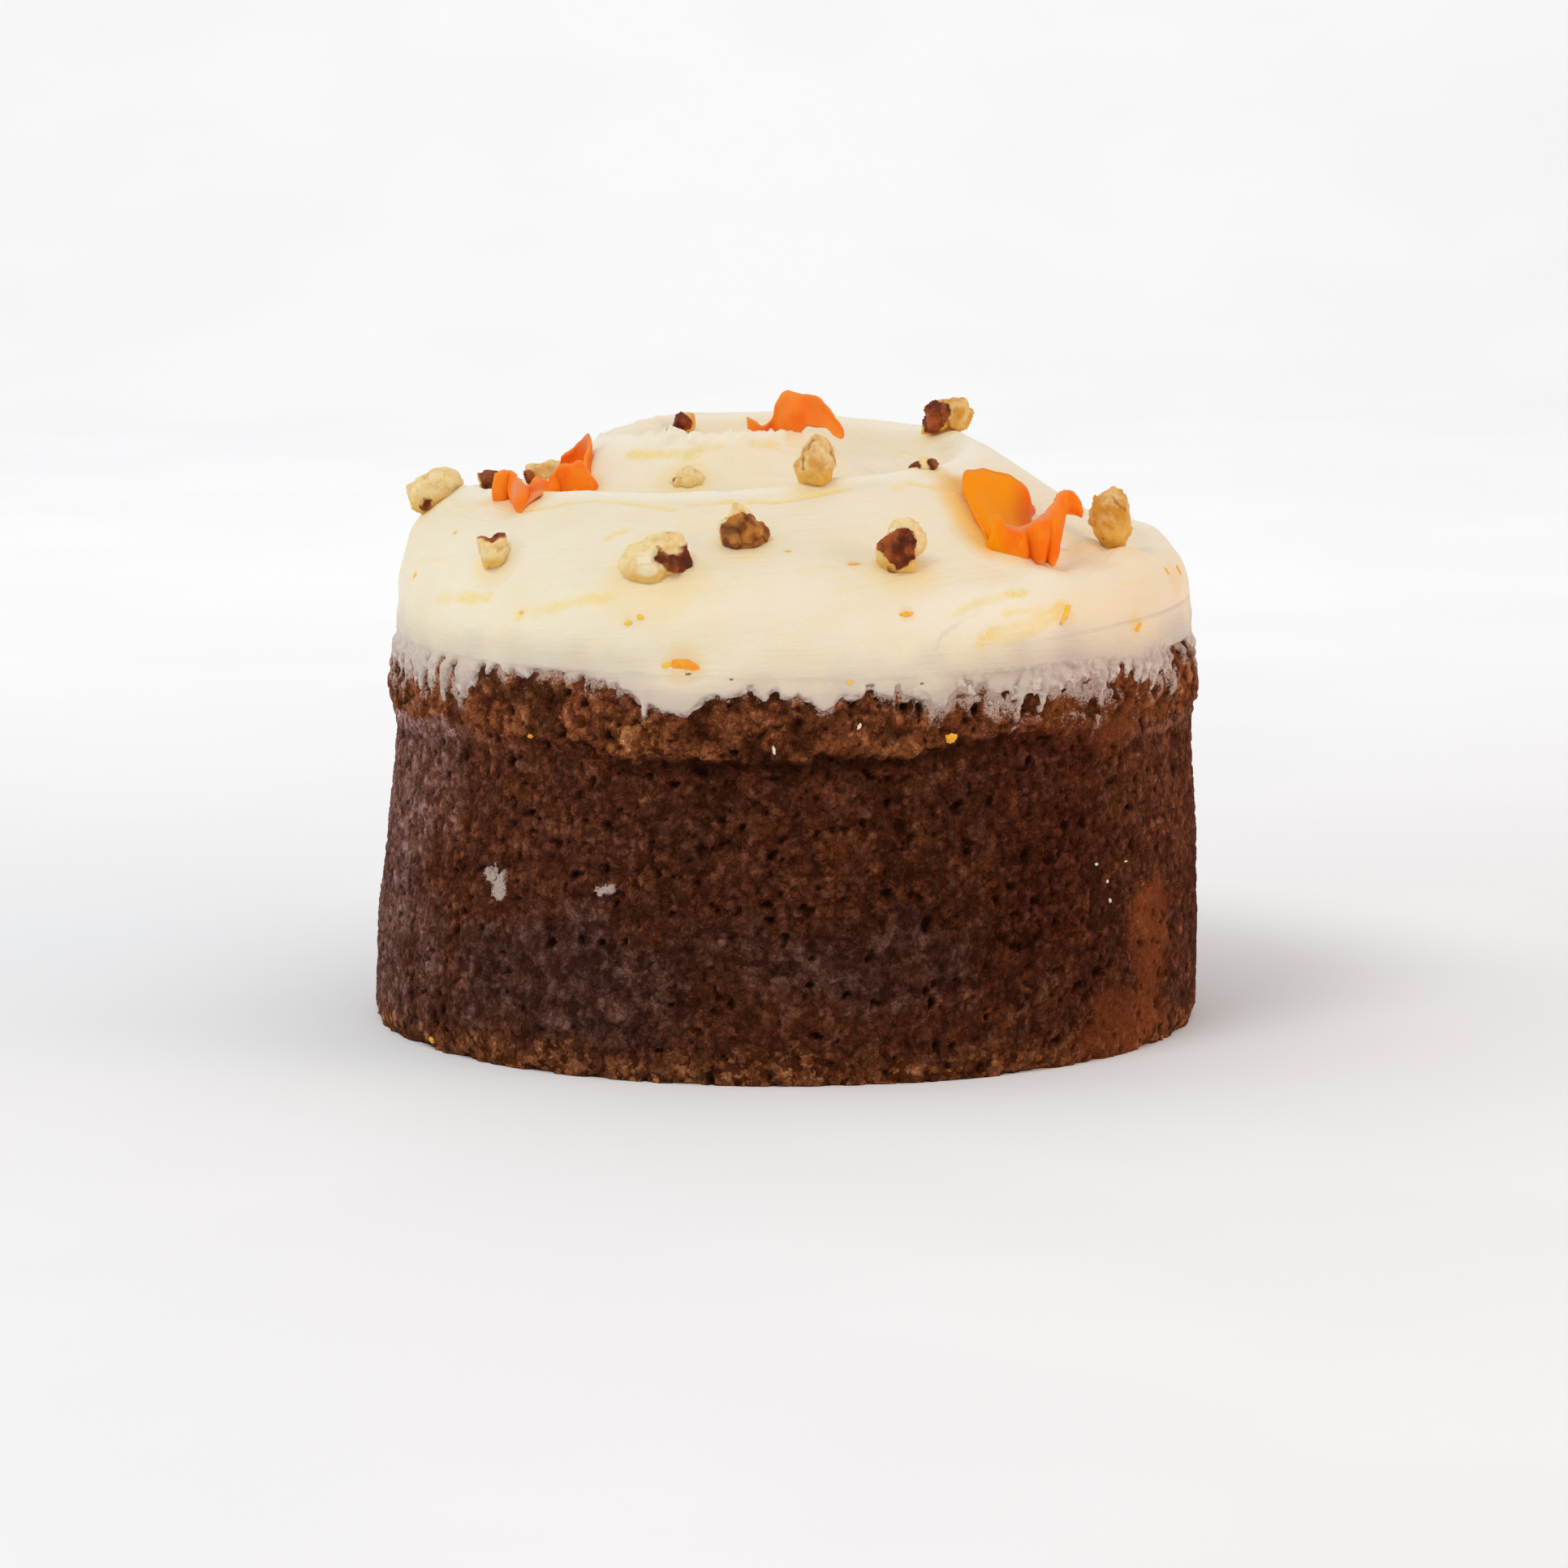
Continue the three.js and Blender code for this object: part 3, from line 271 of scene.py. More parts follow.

# Each carrot ribbon: its foot, how far it is cupped, how pale it is, and its stations, each a place
# on its lower and upper edge from the foot. Some have a part painted glowing as if light shone through
# it as (station, reach), a part cupped deeper as (station, reach, depth), and painted shade on folds
# and sheer spots as (station, half width, share across, half height).
RIBBON_THICKNESS = 0.9
RIBBON_BANDS = 12
ROWS_PER_STATION = 12
RIBBONS = {
    "carrot_ribbon_left": dict(foot=(-44, -16, 97), cup=0.6, pale=0.1,
        scoop=(6, 1.6, -0.8), folds=((6.1, 0.9, 0.45, 0.28),),
        sheer=((6.4, 1.6, 0.05, 0.2), (15, 0.7, 0.9, 0.3), (3.6, 0.5, 0.7, 0.5)), stations=(
        ((-8.7, 1, -1.7), (-8.6, 1, 3.8)), ((-7.1, -0.3, -1.1), (-7, 0, 4.6)),
        ((-5.7, 1, -0.8), (-5.5, 0.5, 4.4)), ((-5, -3.5, -1.2), (-4.4, -1.5, 3.6)),
        ((-3.7, -9.5, -2.3), (-3.6, -3.5, 2.8)), ((-2.3, -7, -0.7), (-2.6, 1, 1.7)),
        ((-0.5, -5, 0.4), (-1, 4.5, 2.8)), ((1.2, -0.5, -0.1), (1, 6.5, 1.7)),
        ((2.4, 6.5, -1.4), (2.5, 7, 4.2)), ((3.5, 6.5, -0.9), (3.4, 6.5, 5)),
        ((5.3, 5.5, -0.7), (5.3, 6, 5.3)), ((7.2, 4.2, -0.6), (7.1, 5.5, 5.7)),
        ((9, 3.5, -0.3), (9, 5, 2.2)), ((7.9, 8, 0.7), (7.3, 9, 4)), ((7.2, 12, 2), (7.8, 12.5, 7.2)),
        ((6.5, 13.5, 2.2), (8, 14, 9.8)), ((4.1, 14, 0.9), (5.2, 14.5, 7.3)),
        ((3, 13, 0), (3, 13.5, 5.8)))),
    "carrot_ribbon_top": dict(foot=(1, -4, 107), cup=-0.8, pale=0.4,
        folds=((4.7, 1.5, 0.2, 0.32), (5.9, 1.1, 0.3, 0.3)), stations=(
        ((-8.4, 4, -5.1), (-8, 4, 2.7)), ((-6.6, 3, -4.2), (-6.6, 3.5, 2.1)),
        ((-5, 4, -4.3), (-5.1, 4, 1.1)), ((-3.6, 5, -4.6), (-3.5, 5, 2.3)),
        ((-2, 2, -2.1), (-2.3, 5, 6.1)), ((-0.4, 0, -1.3), (-0.7, 5, 7.5)),
        ((1.3, 2.5, -0.5), (1.4, 6, 6.8)), ((2.8, 5, 0.8), (3.4, 7, 6.5)),
        ((4.5, 4.5, 0.7), (5.1, 6.5, 6.2)), ((6.5, 3, 0.7), (6.8, 5, 4.5)),
        ((7.9, 1, -0.5), (8.4, 2.5, 2.5)), ((9, -0.5, -0.9), (9.6, 0.5, 0.8)))),
    "carrot_ribbon_right": dict(foot=(41, -36, 93), cup=0.7, glow=(5.5, 3.8), pale=0,
        folds=((1.3, 1.3, 0.5, 0.6), (12.6, 0.42, 0.3, 0.45), (14, 0.5, 0.35, 0.5)),
        sheer=((11.2, 1.8, 0.97, 0.16), (0.4, 0.6, 0.5, 0.6), (13.6, 1.2, 0.98, 0.1)), stations=(
        ((3.6, 7, 0.3), (3.3, 10, 2.6)), ((2.6, 3.5, -0.2), (2.9, 13.5, 4.7)),
        ((0.6, 0.5, -0.6), (1.2, 15, 7.1)), ((-1.2, -2, -0.6), (-2.4, 15, 8.7)),
        ((-2.4, -3.5, -0.1), (-6.1, 14, 9.4)), ((-3.6, -5, 0.6), (-8.9, 11.5, 9)),
        ((-3.8, -7, 0.1), (-9.2, 6, 6.1)), ((-3.6, -9.2, -1.5), (-7.1, -2.5, 2.4)),
        ((-3.4, -10.8, -2.7), (-5.2, -9, -0.9)), ((-2.8, -11.2, -3.7), (-4, -8.3, 3.6)),
        ((-0.8, -11.4, -4.3), (-2.2, -8.6, 2)), ((0.9, -10.8, -4.6), (-0.2, -9, 1.5)),
        ((2.3, -8.5, -5), (1.6, -8.5, 1.9)), ((3.8, -11, -4.9), (3.3, -8.5, 3)),
        ((5.2, -8.5, -5), (4.9, -6, 3.9)), ((6.4, -10, -5.3), (6.4, -2, 5.1)),
        ((7.3, -2, -2), (7.6, 2.5, 6.3)), ((8.1, 5, 1.7), (9.5, 6, 6.5)),
        ((10.4, 7, 1.9), (11.4, 7, 5.1)), ((12, 7, 1.3), (12.3, 7, 2.5)))),
    "carrot_ribbon_back": dict(foot=(12, 58, 91.6), cup=0.7, pale=0.2, stations=(
        ((-9, 1, -1), (-8.6, 0.4, 3.6)), ((-6.4, -1.6, -1), (-6.6, -1, 4.8)),
        ((-4, 0.6, -1.2), (-4.2, 1, 4.2)), ((-1.6, 2, -1.4), (-1.8, 2.6, 3)),
        ((1, 0, -1.2), (0.8, 0.4, 4.4)), ((3.4, -2.2, -1), (3.4, -2.4, 5.6)),
        ((6, -0.6, -1.2), (6.2, -1, 4.6)), ((8.4, 1.8, -1.4), (8.6, 2.2, 2.2)))),
}

# Flakes lying on the frosting: middle, length, height, slope in degrees, and how orange they are.
FLECKS = (
    ((-17.6, -69.9, 73.3), 7.0, 2.2, -3, 0.7), ((-20.6, -69, 73.2), 2.4, 1.2, 20, 0.11),
    ((21.1, -68, 82.1), 2.8, 0.9, 4, 0.41), ((49.3, -54, 80.1), 4.8, 1.1, 47, 0.08),
    ((62.6, -39.3, 76.1), 2.7, 1.2, 30, 0.5), ((68.3, -24.1, 84), 1.1, 1.5, 0, 0.33),
    ((70.6, -17.9, 83.5), 1.4, 1.8, 10, 0.5), ((-27.3, -65, 80.2), 1.6, 1.0, 15, 0.11),
    ((-25.2, -65.8, 80.6), 1.5, 0.9, -20, 0.14), ((-66.7, -19.9, 83), 1.5, 1.2, 0, 0.03),
    ((11.2, -72.4, 70.4), 1.1, 1.1, 0, 0.11), ((11.8, -59.5, 90.2), 2.6, 0.7, 8, 0.44),
    ((0.3, -59.4, 98.5), 1.4, 0.7, 0, 0.06), ((-46.4, -52.6, 80.6), 0.9, 0.7, 0, 0.17),
    ((-59.2, -23.2, 91.2), 1.0, 0.7, 0, 0.17), ((52, 46, 84), 3.4, 1.1, -30, 0.17),
    ((-12, 70, 80), 3.0, 1.0, 10, 0.39), ((-58, 42, 79), 2.0, 1.0, 25, 0.11))
CREAM_BITS = (((47.4, -34.3, 100), 2.2, 1.3, 30, 0), ((52.7, -35.7, 94.6), 3.4, 1.6, -20, 0))
BROWN_BITS = (
    ((-17, -70.5, 71.7), 1.1, 0.5, 0, 0.2), ((-30.6, -66, 65.8), 0.8, 0.5, 20, 0.2),
    ((-9.5, -72, 71), 0.6, 0.4, 0, 0.1), ((24, -70.5, 70.5), 0.7, 0.4, 10, 0.1))
# Flakes on the sponge's side: carrot shreds baked in, and pale specks.
BAKED_SHREDS = (
    ((28.5, -68.3, 59.6), 2.4, 2.6, 15, 0.45), ((-63.5, -41.8, 1.8), 2.4, 1.4, 20, 0.5),
    ((-45, -57, 58.5), 1.6, 0.9, -10, 0.6), ((58, 46, 30), 2.2, 1.2, 25, 0.6),
    ((-30, 67, 44), 1.8, 1.1, 0, 0.5))
PALE_SPECKS = (
    ((55, -50.7, 35.4), 0.8, 0.6, 0, 0), ((57.1, -48.5, 31.8), 0.7, 0.7, 0, 0),
    ((57.5, -48.5, 28.5), 0.6, 0.9, 30, 0), ((60.3, -44, 34.6), 0.9, 0.4, 0, 0),
    ((-2, -73, 59), 0.6, 1.8, 10, 0), ((13, -72, 63), 0.6, 1.4, -20, 0))
FLAKE_SIDES = 14
FLAKE_LIFT, LUMP_LIFT, SHRED_LIFT, SPECK_LIFT = 0.14, 0.7, 0.35, 0.3  # how far they stand out
FLAKE_RINGS = ((0.55, 1.0), (0.85, 0.6), (1.0, -0.5))  # share of its half width, share of its lift


# ---------------------------------------------------------------- small maths


def smooth(start, end, value):
    t = np.clip((value - start) / (end - start), 0, 1)
    return t * t * (3 - 2 * t)


def mix(a, b, share):
    return a + (b - a) * share


def unit(vectors):
    return vectors / np.maximum(np.linalg.norm(vectors, axis=-1, keepdims=True), 1e-9)


def distance(points, place):
    return np.linalg.norm(points - place, axis=-1)


def turn_of(angle, start=0):
    """Degrees from a starting direction, from -180 to 180."""
    return (np.degrees(angle) - start + 180) % 360 - 180


def lattice(cell, seed):
    """A repeatable value from 0 to 1 for each whole-numbered cell."""
    h = cell[..., 0] * 374761393 + cell[..., 1] * 668265263 + cell[..., 2] * 1274126177 + seed * 362437
    h = (h ^ (h >> 13)) * 1103515245 & 0xFFFFFFFF
    h = (h ^ (h >> 16)) * 2246822519 & 0xFFFFFFFF
    return ((h ^ (h >> 15)) & 0xFFFFFF) / float(0x1000000)


def lattice_place(cell, seed):
    return np.stack([lattice(cell, seed + axis) for axis in range(3)], -1)


def noise(points, size, seed):
    """Smooth noise from -1 to 1, its features about as large as size; each seed gives its own field."""
    p = np.asarray(points, float) / size
    cell = np.floor(p).astype(np.int64)
    t = p - cell
    t = t * t * t * (t * (t * 6 - 15) + 10)
    total = 0
    for corner in np.ndindex(2, 2, 2):
        weight = np.prod(np.where(np.array(corner) == 1, t, 1 - t), axis=-1)
        total = total + weight * lattice(cell + np.array(corner), seed)
    return total * 2 - 1


def flat_noise(u, v, seed):
    return noise(np.stack([u, v, np.full_like(u, 0.5)], -1), 1.0, seed)


def line_noise(u, seed):
    return noise(np.stack([u, u * 0, u * 0], -1), 1.0, seed)


def pushed_about(points, amount, size, seed):
    return points + amount * np.stack([noise(points, size, seed + axis) for axis in range(3)], -1)


def scattered(points, size, seed, worth):
    """Distance to the nearest of points scattered about size apart, in units of size, and its worth."""
    p = np.asarray(points, float) / size
    base = np.floor(p).astype(np.int64)
    nearest = np.full(p.shape[:-1], 9.0)
    value = np.zeros(p.shape[:-1])
    for step in np.ndindex(3, 3, 3):
        cell = base + np.array(step) - 1
        away = p - cell - lattice_place(cell, seed)
        gap = np.linalg.norm(away, axis=-1)
        closer = gap < nearest
        nearest = np.where(closer, gap, nearest)
        value = np.where(closer, worth(cell, away), value)
    return nearest, value


def cells(points, size, seed):
    return scattered(points, size, seed, lambda cell, away: lattice(cell, seed + 3))


def facets(points, size, seed):
    """Height of flat facets about size across, each tilted its own way."""
    def height(cell, away):
        return (away * (lattice_place(cell, seed + 3) * 2 - 1)).sum(-1)

    return scattered(points, size, seed, height)[1] * size


def beside_line(points, start, end):
    """Distance of points from a straight line between two ends."""
    start, line = np.array(start, float), np.subtract(end, start).astype(float)
    share = np.clip(((points - start) @ line) / (line @ line), 0, 1)
    return distance(points, start + share[..., None] * line)


def curve_through(values, position):
    """Catmull-Rom curve through evenly spaced values."""
    values = np.asarray(values, float)
    last = len(values) - 1
    inside = np.clip(position, 0, last - 1e-9)
    i = np.floor(inside).astype(int)
    t = inside - i
    a, b, c, d = (values[np.clip(i + k, 0, last)] for k in (-1, 0, 1, 2))
    if values.ndim > 1:
        t = t[..., None]
    square, cube = 2 * a - 5 * b + 4 * c - d, 3 * b - a - 3 * c + d
    return 0.5 * (2 * b + (c - a) * t + square * t ** 2 + cube * t ** 3)


def around(table, angle):
    """Smooth waves through (direction, value) rows that close on themselves."""
    degrees = turn_of(angle)
    start = np.append(table[:, 0], table[0, 0] + 360)
    value = np.append(table[:, 1], table[0, 1])
    position = np.where(degrees < start[0], degrees + 360, degrees)
    i = np.clip(np.searchsorted(start, position, side="right") - 1, 0, len(table) - 1)
    return mix(value[i], value[i + 1], smooth(start[i], start[i + 1], position))


def columns_around(count):
    """Angles right round the cake, closer together on the side facing -Y."""
    even = np.arange(count) / count * TURN
    return even - FRONT_CLOSER * np.sin(even + TURN / 4)


# ---------------------------------------------------------------- meshes


def mesh_piece(name, points, faces, looks=None):
    """A smooth-shaded mesh object from points in millimetres on the sponge's own axis."""
    points = np.asarray(points, float).reshape(-1, 3) + np.array([*PLAN_SHIFT, 0])
    mesh = bpy.data.meshes.new(name)
    mesh.from_pydata((points * MM).tolist(), [], [list(map(int, face)) for face in faces])
    mesh.update()
    mesh.shade_smooth()
    for look, values in (looks or {}).items():
        layer = mesh.attributes.new(look, "FLOAT", "POINT")
        layer.data.foreach_set("value", np.asarray(values, np.float32).ravel())
    piece = bpy.data.objects.new(name, mesh)
    bpy.context.scene.collection.objects.link(piece)
    return piece


def quads(a, b, c, d):
    """Four-sided faces between four equal grids of point numbers."""
    return list(zip(a.ravel(), b.ravel(), c.ravel(), d.ravel()))


def closed_skin(name, hidden_low, shown, hidden_high, bottom, top, looks):
    """A mesh over closed rings of points between a bottom and a top point, with looks for each point
    of the rings that show."""
    rings = np.concatenate([*hidden_low, shown, *hidden_high])
    rows, count = rings.shape[:2]
    number = 1 + np.arange(rows * count).reshape(rows, count)
    after = np.roll(number, -1, axis=1)
    last = 1 + rows * count
    faces = [(0, b, a) for a, b in zip(number[0], after[0])]
    faces += quads(number[:-1], after[:-1], after[1:], number[1:])
    faces += [(last, a, b) for a, b in zip(number[-1], after[-1])]
    below, above = (np.zeros(1 + len(hidden) * count) for hidden in (hidden_low, hidden_high))
    looks = {look: np.concatenate([below, np.ravel(values), above]) for look, values in looks.items()}
    return mesh_piece(name, np.concatenate([[bottom], rings.reshape(-1, 3), [top]]), faces, looks)


def dress(piece, material, node):
    piece.data.materials.append(material)
    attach(piece, BODY)
    if node:
        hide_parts(node)


# ---------------------------------------------------------------- sponge form


def side_point(angle, height, radius):
    """A place on the side, which leans a little."""
    lean = LEAN * smooth(0, LEAN_HEIGHT, height)
    return np.stack([radius * np.cos(angle) + lean, radius * np.sin(angle), height], -1)


def crust_radius(angle, height, ragged=0.0):
    """Radius of the sponge's side without its crumb, the crown's torn step included."""
    ledge = around(LEDGE, angle)
    crown = LEDGE_STEP * smooth(ledge - 0.5, ledge + 1.1, height + ragged)
    waves = np.sin(5 * angle + 0.07 * height + 0.4) * 0.45
    waves += np.sin(11 * angle - 0.16 * height + 1.7) * 0.35
    waves += np.sin(19 * angle + 0.33 * height + 4.1) * 0.2
    taper = np.interp(height, *zip(*CROWN_TAPER))
    return np.interp(height, *zip(*SPONGE_SIDE)) + crown - taper + CRUMB_RELIEF * waves


def smear_edge(angle, height):
    """Height above the smear's wandering edge, and how fingered the smear is there."""
    fingered = around(FINGERING, angle)
    slant = SMEAR_SLANT * smooth(-84, -56, turn_of(angle)) * smooth(20, 0, turn_of(angle))
    run = angle * SKIRT
    sideways = run - slant * height
    bars = np.clip(2 * flat_noise(sideways / 1.6, height / 14, 61), -1, 1) * 1.5
    bars += flat_noise(sideways / 0.75, height / 6, 62) * 1.3
    broad = flat_noise(run / 6, height / 12, 63) * 0.5 + flat_noise(sideways / 2, height / 2, 64) * 0.6
    above = height - around(SMEAR_EDGE, angle) + bars * fingered + broad
    for direction, width, drop in SMEAR_TONGUES:
        away = np.radians(turn_of(angle, direction)) * SKIRT - 0.5 * slant * (height - 67)
        above = above + drop * smooth(1.5, 0.5, np.abs(away) / width)
    return above, fingered


def blots(spots, angle, height, wander):
    """1 in the middle of soft patches on the side, 0 outside them, with a wandering edge."""
    shares = []
    for direction, middle, across, up in spots:
        sideways = np.radians(turn_of(angle, direction)) * BASE_RADIUS / across
        gap = np.hypot(sideways, (height - middle) / up)
        shares.append(smooth(1.15, 0.45, gap + 0.35 * wander))
    return np.max(shares, axis=0)


def crumb(points, angle, height, bare):
    """The crumb's relief, and what its colours need to know; bare is 0 where the smear covers it."""
    ragged = noise(points, 3.2, 11) * 1.1 + noise(points, 1.3, 12) * 0.5
    ledge = around(LEDGE, angle)
    crown = smooth(ledge - 0.4, ledge + 0.9, height + ragged)
    wander = noise(points, 7, 13)
    smoothness = blots(SMOOTH_CRUSTS, angle, height, wander) * (1 - crown)
    open_crumb = 1 - 0.7 * smoothness
    pushed = pushed_about(points, 1.1, 2.2, 14)
    near, value = cells(pushed * (1, 1, 1.25), 3.6, 21)
    hole = smooth(0.34, 0.17, near) * smooth(0.55, 0.72, value)
    near, value = cells(pushed, 1.9, 31)
    shaded_pore = smooth(0.38, 0.16, near) * smooth(0.45, 0.7, value)
    billow = np.minimum(np.abs(noise(points, 1.9, 43)), 0.55)
    fine = np.minimum(np.abs(noise(points, 1.15, 44)), 0.5)
    relief = (0.70 * (billow - 0.28) + 0.42 * (fine - 0.24)) * open_crumb
    relief += noise(points, 4.5, 41) * 0.16 + noise(points, 2.4, 42) * 0.28 * crown
    # The torn crown comes away in lumps with gaps between them.
    near, value = cells(pushed * (1, 1, 1.3), 5.2, 33)
    gap = smooth(0.42, 0.72, near + 0.25 * noise(points, 1.6, 17)) * crown
    relief += crown * (0.2 + 0.28 * value - 0.65 * gap)
    # The tin has drawn the smooth crusts out sideways.
    along = np.stack([angle * BASE_RADIUS / 8, height / 0.8, height * 0], -1)
    relief += noise(along, 1.0, 45) * 0.16 * smoothness
    relief -= (1.0 + 0.5 * crown) * hole + (0.55 + 0.2 * crown) * shaded_pore * open_crumb
    under = smooth(ledge - 4, ledge - 0.8, height + ragged) * (1 - crown) * around(UNDERCUT, angle)
    relief = (relief - UNDERCUT_DEPTH * under) * (0.25 + 0.75 * bare)
    torn = 0.75 * gap * smooth(-0.5, 0.3, wander)
    looks = dict(
        crown=crown, smoothness=smoothness, clump=blots(CLUMPS, angle, height, wander) * crown,
        # Painted shade in the holes, pores, torn gaps and under the ledge.
        shaded_pore=np.max([hole, 0.8 * shaded_pore * open_crumb, torn, 0.6 * under], axis=0) * bare,
        # tip: painted highlight on the raised crumb
        tip=smooth(0.0, 0.42, relief - 0.5 * crown))
    return relief, ragged, looks


def make_sponge(material):
    columns = columns_around(SPONGE_COLUMNS)
    height, angle = np.meshgrid(np.linspace(0, RIM_HEIGHT, SPONGE_ROWS), columns, indexing="ij")
    above, fingered = smear_edge(angle, height)
    plain = side_point(angle, height, crust_radius(angle, height))
    relief, ragged, looks = crumb(plain, angle, height, smooth(2.2, 0.4, above))
    # The foot is rounded under and hollowed here and there.
    hollows = sum(line_noise(angle * 12 * 2 ** k, 51 + k) / 2 ** k for k in range(3)) / 1.75
    undercut = (0.7 + 1.3 * smooth(-0.1, 0.5, hollows)) * smooth(2.6, 0.2, height + 0.5 * ragged)
    radius = crust_radius(angle, height, ragged * 0.8) + relief - undercut
    # Crumbs that would stand out past the base are pressed in, the furthest the most.
    room = (WIDEST - radius) / PRESSED
    radius = WIDEST - PRESSED * np.where(room < 1, np.exp(np.minimum(room, 1) - 1), room)
    side = side_point(angle, height, radius)
    looks["foot"] = smooth(FOOT_BAND, 1, height + 2.4 * noise(side, 6, 52) + 1.4 * noise(side, 2.0, 53))
    looks["patch"] = blots(PATCHES, angle, height, noise(side, 8, 54))
    # Painted sheen of the bright surroundings on the limbs, and painted shade where the table is below 0.
    sheen_and_shade = around(SHEEN_AND_SHADE, angle)
    looks["limb_sheen"] = np.maximum(sheen_and_shade, 0) * (0.35 + 0.65 * smooth(20, 50, height))
    looks["shady"] = np.maximum(-sheen_and_shade, 0) * (1 - looks["crown"]) * smooth(12, 30, height)
    # Painted grey sheen on the far left side.
    looks["side_sheen"] = blots(SHEEN_SIDES, angle, height, noise(side, 8, 55))
    veil = smooth(-9 * fingered - 0.6, 2.5, above) * smooth(-0.3, 0.35, relief)
    wiped = blots(SMEARS, angle, height, 1.5 * noise(side, 1.5, 56)) * smooth(-0.5, 0.1, relief)
    looks["veil"] = np.maximum(veil, wiped)
    rim = crust_radius(columns, RIM_HEIGHT) - RIM_ACROSS
    hidden = []
    for turn in np.radians((30, 60, 90)):
        level = np.full_like(rim, RIM_HEIGHT + RIM_UP * np.sin(turn))
        hidden.append(side_point(columns, level, rim + RIM_ACROSS * np.cos(turn))[None])
    for share in (0.7, 0.35):
        level = np.full_like(rim, RIM_HEIGHT + RIM_UP + DOME_RISE * (1 - share ** 2))
        hidden.append(side_point(columns, level, rim * share)[None])
    top = (LEAN, 0, RIM_HEIGHT + RIM_UP + DOME_RISE)
    piece = closed_skin("sponge_crumb", [], side, hidden, (0, 0, 0), top, looks)
    dress(piece, material, "sponge")
    return side


# ---------------------------------------------------------------- frosting form


def crest_at(eighth):
    """Radius and height of the swirl's crest, counted in eighths of a turn inwards."""
    radii, heights = SWIRL_CREST.T
    before, after = eighth < 0, eighth > len(radii) - 1
    radius = np.where(before, radii[0] - OUTER_SPREAD * eighth, curve_through(radii, eighth))
    height = np.where(before, heights[0], curve_through(heights, eighth))
    return np.where(after, 0, radius), np.where(after, heights[-1], height)


def rim_groove(eighth, inwards):
    """Depth of the furrow that runs just inside the rim on the right."""
    spot = RIM_GROOVE
    strength = smooth(spot["start"], spot["full"], eighth) * smooth(spot["end"], spot["fade"], eighth)
    return spot["depth"] * strength * np.exp(-((inwards - spot["inwards"]) / spot["width"]) ** 2)


def swirl(x, y):
    """The swirled top: its height, the distance inwards from the crest outside a spot and outwards
    from the crest inside it, and the eighths turned along the swirl."""
    dx, dy = x - SWIRL_MIDDLE[0], y - SWIRL_MIDDLE[1]
    reach = np.hypot(dx, dy)
    eighth = ((np.arctan2(dy, dx) + TURN / 4) % TURN) / TURN * EIGHTHS
    height = np.full_like(reach, SWIRL_CREST[-1, 1])
    inwards, outwards, along = np.zeros_like(reach), np.zeros_like(reach), eighth.copy()
    for turn in (-1, 0, 1, 2):
        outer_eighth = eighth + turn * EIGHTHS
        outer_radius, outer_height = crest_at(outer_eighth)
        inner_radius, inner_height = crest_at(outer_eighth + EIGHTHS)
        here = (reach < outer_radius) & (reach >= inner_radius)
        gap = np.maximum(outer_radius - inner_radius, 1e-3)
        share = np.clip((reach - inner_radius) / gap, 0, 1)
        eased = share ** (1 - 0.35 * smooth(4, 6, outer_eighth))
        slope = 0.6 * eased ** 2 * (3 - 2 * eased) + 0.4 * eased
        dip = np.hypot(np.sin(np.pi * share ** 1.1), np.sqrt(0.03)) - np.sqrt(0.03)
        strength = smooth(0.6, 3, outer_eighth) * (1 - 0.6 * smooth(13, 16, outer_eighth))
        depth = np.minimum(VALLEY_SHARE * gap, VALLEY_DEPTH) * strength
        groove = rim_groove(outer_eighth, outer_radius - reach)
        height = np.where(here, mix(inner_height, outer_height, slope) - depth * dip - groove, height)
        inwards = np.where(here, outer_radius - reach, inwards)
        outwards = np.where(here, reach - inner_radius, outwards)
        along = np.where(here, outer_eighth, along)
    return height, inwards, outwards, along


def shoulder_at(angle):
    """How far across and down the frosting's round shoulder goes."""
    return 14 - 3.5 * np.cos(angle), 12.5 - 3 * np.cos(angle)


def frosting_top(x, y):
    """Height of the frosting's face at one spot, its round shoulder included."""
    across, down = shoulder_at(np.arctan2(y, x - LEAN))
    share = np.clip((np.hypot(x - LEAN, y) - (FROSTING_RADIUS - across)) / (across - SHOULDER_TRIM), 0, 1)
    drop = down * (1 - (1 - share ** SHOULDER_POWER) ** (1 / SHOULDER_POWER))
    return float(swirl(np.array([float(x)]), np.array([float(y)]))[0][0] - drop)


def smear_thickness(above, fingered):
    """How far the smear stands out from the sponge, this far above its edge."""
    thin = 0.5 * smooth(0, 2.6, above) + (SMEAR_FULL - 0.5) * smooth(2.4, 8, above)
    blunt = SMEAR_BLUNT * smooth(0, 1.1, above) + (SMEAR_FULL - SMEAR_BLUNT) * smooth(1, 5, above)
    return mix(blunt, thin, fingered) + SMEAR_SUNK * smooth(0, -1.2, above)


